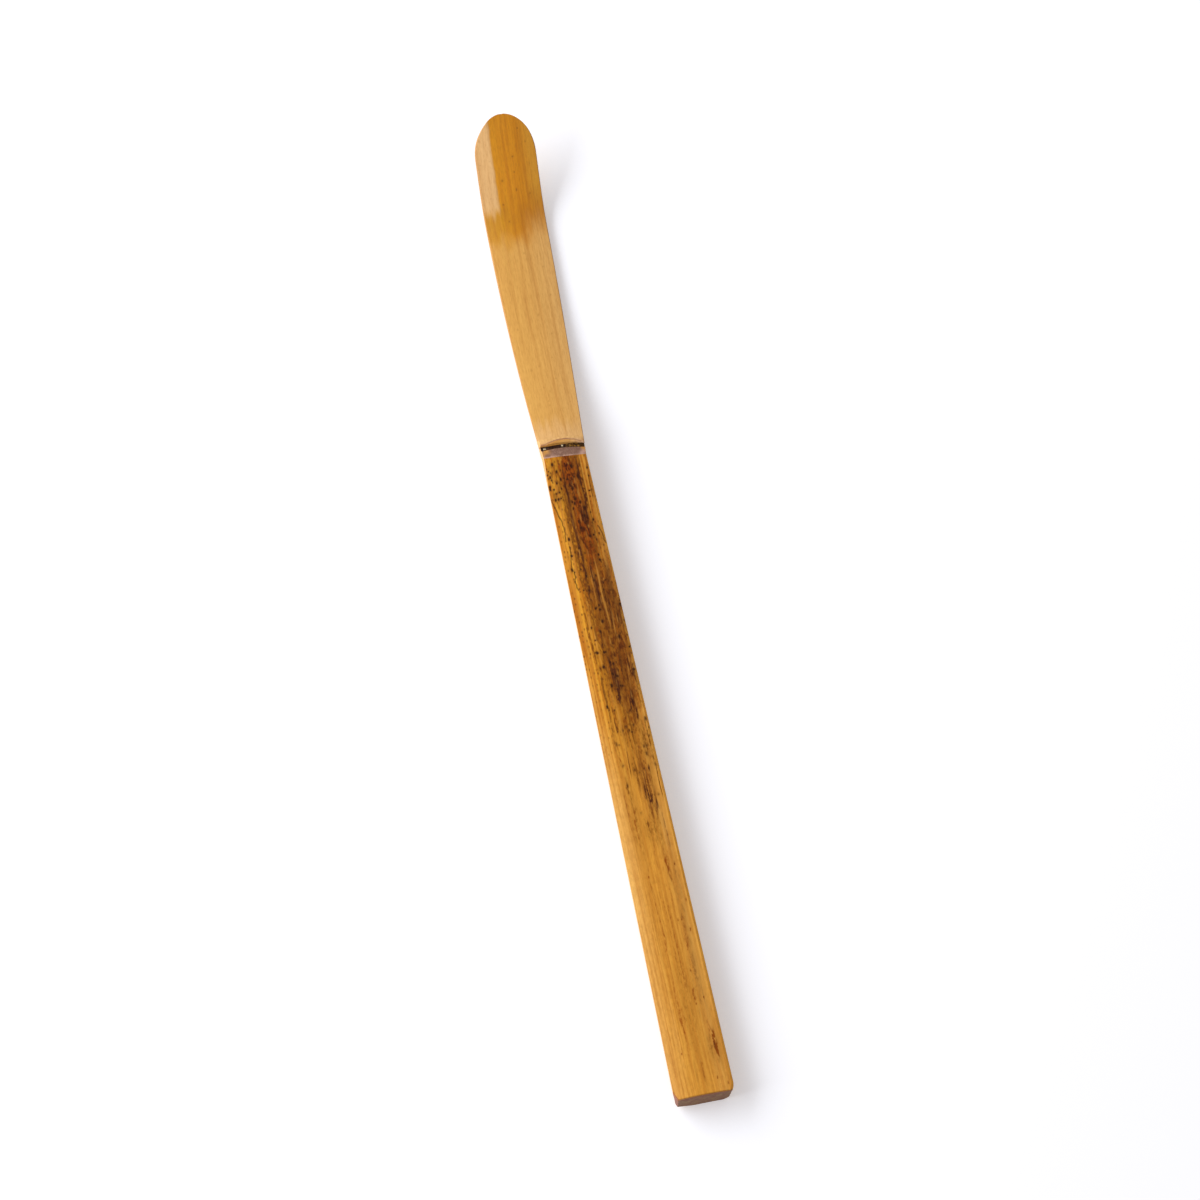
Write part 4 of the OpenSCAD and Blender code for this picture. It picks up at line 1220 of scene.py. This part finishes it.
# The straw grows lighter towards the right: painted light that offsets the shade on the blade's right side.
straw = add(tree, "ValToRGB", {"stops": [(0.0, "#DAA24E"), (0.2, "#DAA550"), (0.5, "#DEA856"),
                                         (0.75, "#E3AE60"), (0.9, "#EAB66A")]}, {"Fac": across})
toast = add(tree, "ValToRGB", {"stops": [(0.0, "#CE9226"), (0.2, "#CC8E18"), (0.27, "#D29218"),
                                         (0.5, "#CE880E"), (0.7, "#CA800C"), (0.85, "#CC841A"),
                                         (1.0, "#D28A28")]}, {"Fac": across})
gold = add(tree, "ValToRGB", {"stops": [(0.3, "#F4A61E"), (0.5, "#F0A01C"), (0.7, "#E49612"),
                                        (0.9, "#E6A430")]}, {"Fac": across})
broad = add(tree, "TexNoise", {}, {"Vector": in_cells(tree, (0.7143, 20.0, 1.0)), "Scale": 1.0,
                                   "Detail": 4.0})
fine = add(tree, "TexNoise", {}, {"Vector": in_cells(tree, (0.16667, 1.818, 1.0)), "Scale": 1.0,
                                  "Detail": 5.0, "Roughness": 0.65})
dashes = add(tree, "TexVoronoi", {"voronoi_dimensions": "2D"},
             {"Vector": in_cells(tree, (0.3846, 1.25, 1.0)), "Scale": 1.0})
ink = add(tree, "ValToRGB", {"stops": [(0.1, "#FFFFFF"), (0.34, "#000000")]}, {"Fac": dashes})
dash_share = add(tree, "Math", {"operation": "MULTIPLY"}, {0: ink, 1: 0.13})
colour = tinted(tree, straw, (("toast", toast), ("gold", gold), ("peach", "#E8BA7E")))
colour = shaded(tree, colour, broad, 0.8, [(0.3, "#E4D6C4"), (0.5, "#F8F4EE"), (0.7, "#FFFFFF")])
colour = shaded(tree, colour, fine, 0.7, [(0.28, "#DCCDB8"), (0.5, "#F8F4EE"), (0.72, "#FFFFFF")])
colour = add(tree, "Mix", {"data_type": "RGBA"}, {0: dash_share, 6: colour, 7: "#A46A24"})
colour = tinted(tree, colour, [("speck", "#8A4E0C")])
surfaced(tree, colour, fine, 0.12, 0.5, 1.4)

# The skin's edge, shaved to the outline and toasted: a thin rust-brown line round the blade.
shaved_edge, tree = new_material("bamboo_edge_shaved_toasted")
fibre_tree(tree, "#CC9450", "#A0662A", "#B27838", 0.5, 0.4, 0.3)

v = blade_stations(520, 70)
low_half = blade_half(v) - leaned(v, SKIN_DEPTH)
half = blade_half(v) - leaned(v, 0)
edge = np.minimum(EDGE_ROUND, 0.3 * half)
top_x = (half - edge)[:, None] * np.linspace(-1, 1, SKIN_ACROSS + 1)[None, :]
top = pair(top_x, face_depth(v[:, None], top_x))
low_x = low_half[:, None] * np.linspace(1, -1, UNDERSIDE_CELLS + 1)[None, :]
low = pair(low_x, face_depth(v[:, None], low_x) + SKIN_DEPTH)
right_run = softened([top[:, -1], pair(half, face_depth(v, half) + EDGE_DROP), low[:, 0]],
                     [0, EDGE_TURN, 0], [3, 2], 2)
left_run = softened([low[:, -1], pair(-half, face_depth(v, -half) + EDGE_DROP), top[:, 0]],
                    [0, EDGE_TURN, 0], [2, 3], 2)
section = np.concatenate([top[:, :-1], right_run, low[:, :-1], left_run], axis=1)
columns = np.ones(section.shape[1])
columns[:SKIN_ACROSS] = 0
x, deep = section[..., 0], section[..., 1]
along = BLADE_START + v[:, None] + 0 * x
face = np.zeros_like(x)
face[:, 1:SKIN_ACROSS] = 1
specks = speckled(x, along, TOAST_SPECKS, TOAST_SPECK, 91)
faint = speckled(x, along, BLADE_SPECKS, BLADE_SPECK, 92)
frayed = along + FRAYED * (cloud(x, along, 0.6, 3.0, 93) - 0.5)
crease_fray = CREASE_FRAY * (cloud(x, along, 0.3, 1.6, 95) - 0.5)
left_band = smooth((-CREASE + 0.3 - x + crease_fray) / CREASE_SOFT)
left_toast = smooth((frayed - LEFT_TOAST_START) / 3.0) * smooth((LEFT_TOAST_END - frayed) / 3.4)
mid_toast = smooth((frayed - TOAST_START) / 4.8)
right_toast = smooth((frayed - RIGHT_TOAST_START) / 8.0)
rightness = smooth((x - 0.4) / 3.4)
past_crease = mid_toast * (1 - rightness) + right_toast * rightness
near_node = smooth((NODE_PALE_END - frayed) / 4.0)
# Painted sheen: the shoulder left of the crease is made pale where the light falls on it.
sheen_band = left_band * smooth((frayed - SHEEN_BAND_START) / 3.0)
blade_marks = {"toast": left_band * left_toast * 0.95 + (1 - left_band) * past_crease,
               "gold": (1 - left_band) * smooth((frayed - GOLD_START) / 7.0),
               "peach": np.clip(0.75 * near_node + 0.95 * sheen_band, 0, 1),
               "speck": np.clip(0.6 * specks + 0.3 * faint, 0, 1)}
deep = deep + face * (BLADE_GRAIN * cloud(x, along, 0.24, 8.0, 94) + SPECK_DEPTH * specks)
blade_skin = closed_mesh("blade_pale_skin", placed(v, x, deep), np.stack([x, along, deep], axis=-1),
                         [pale_skin, shaved_edge], columns, (0, 1), (0, 0), blade_marks)
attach(blade_skin, "root")
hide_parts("blade_skin")
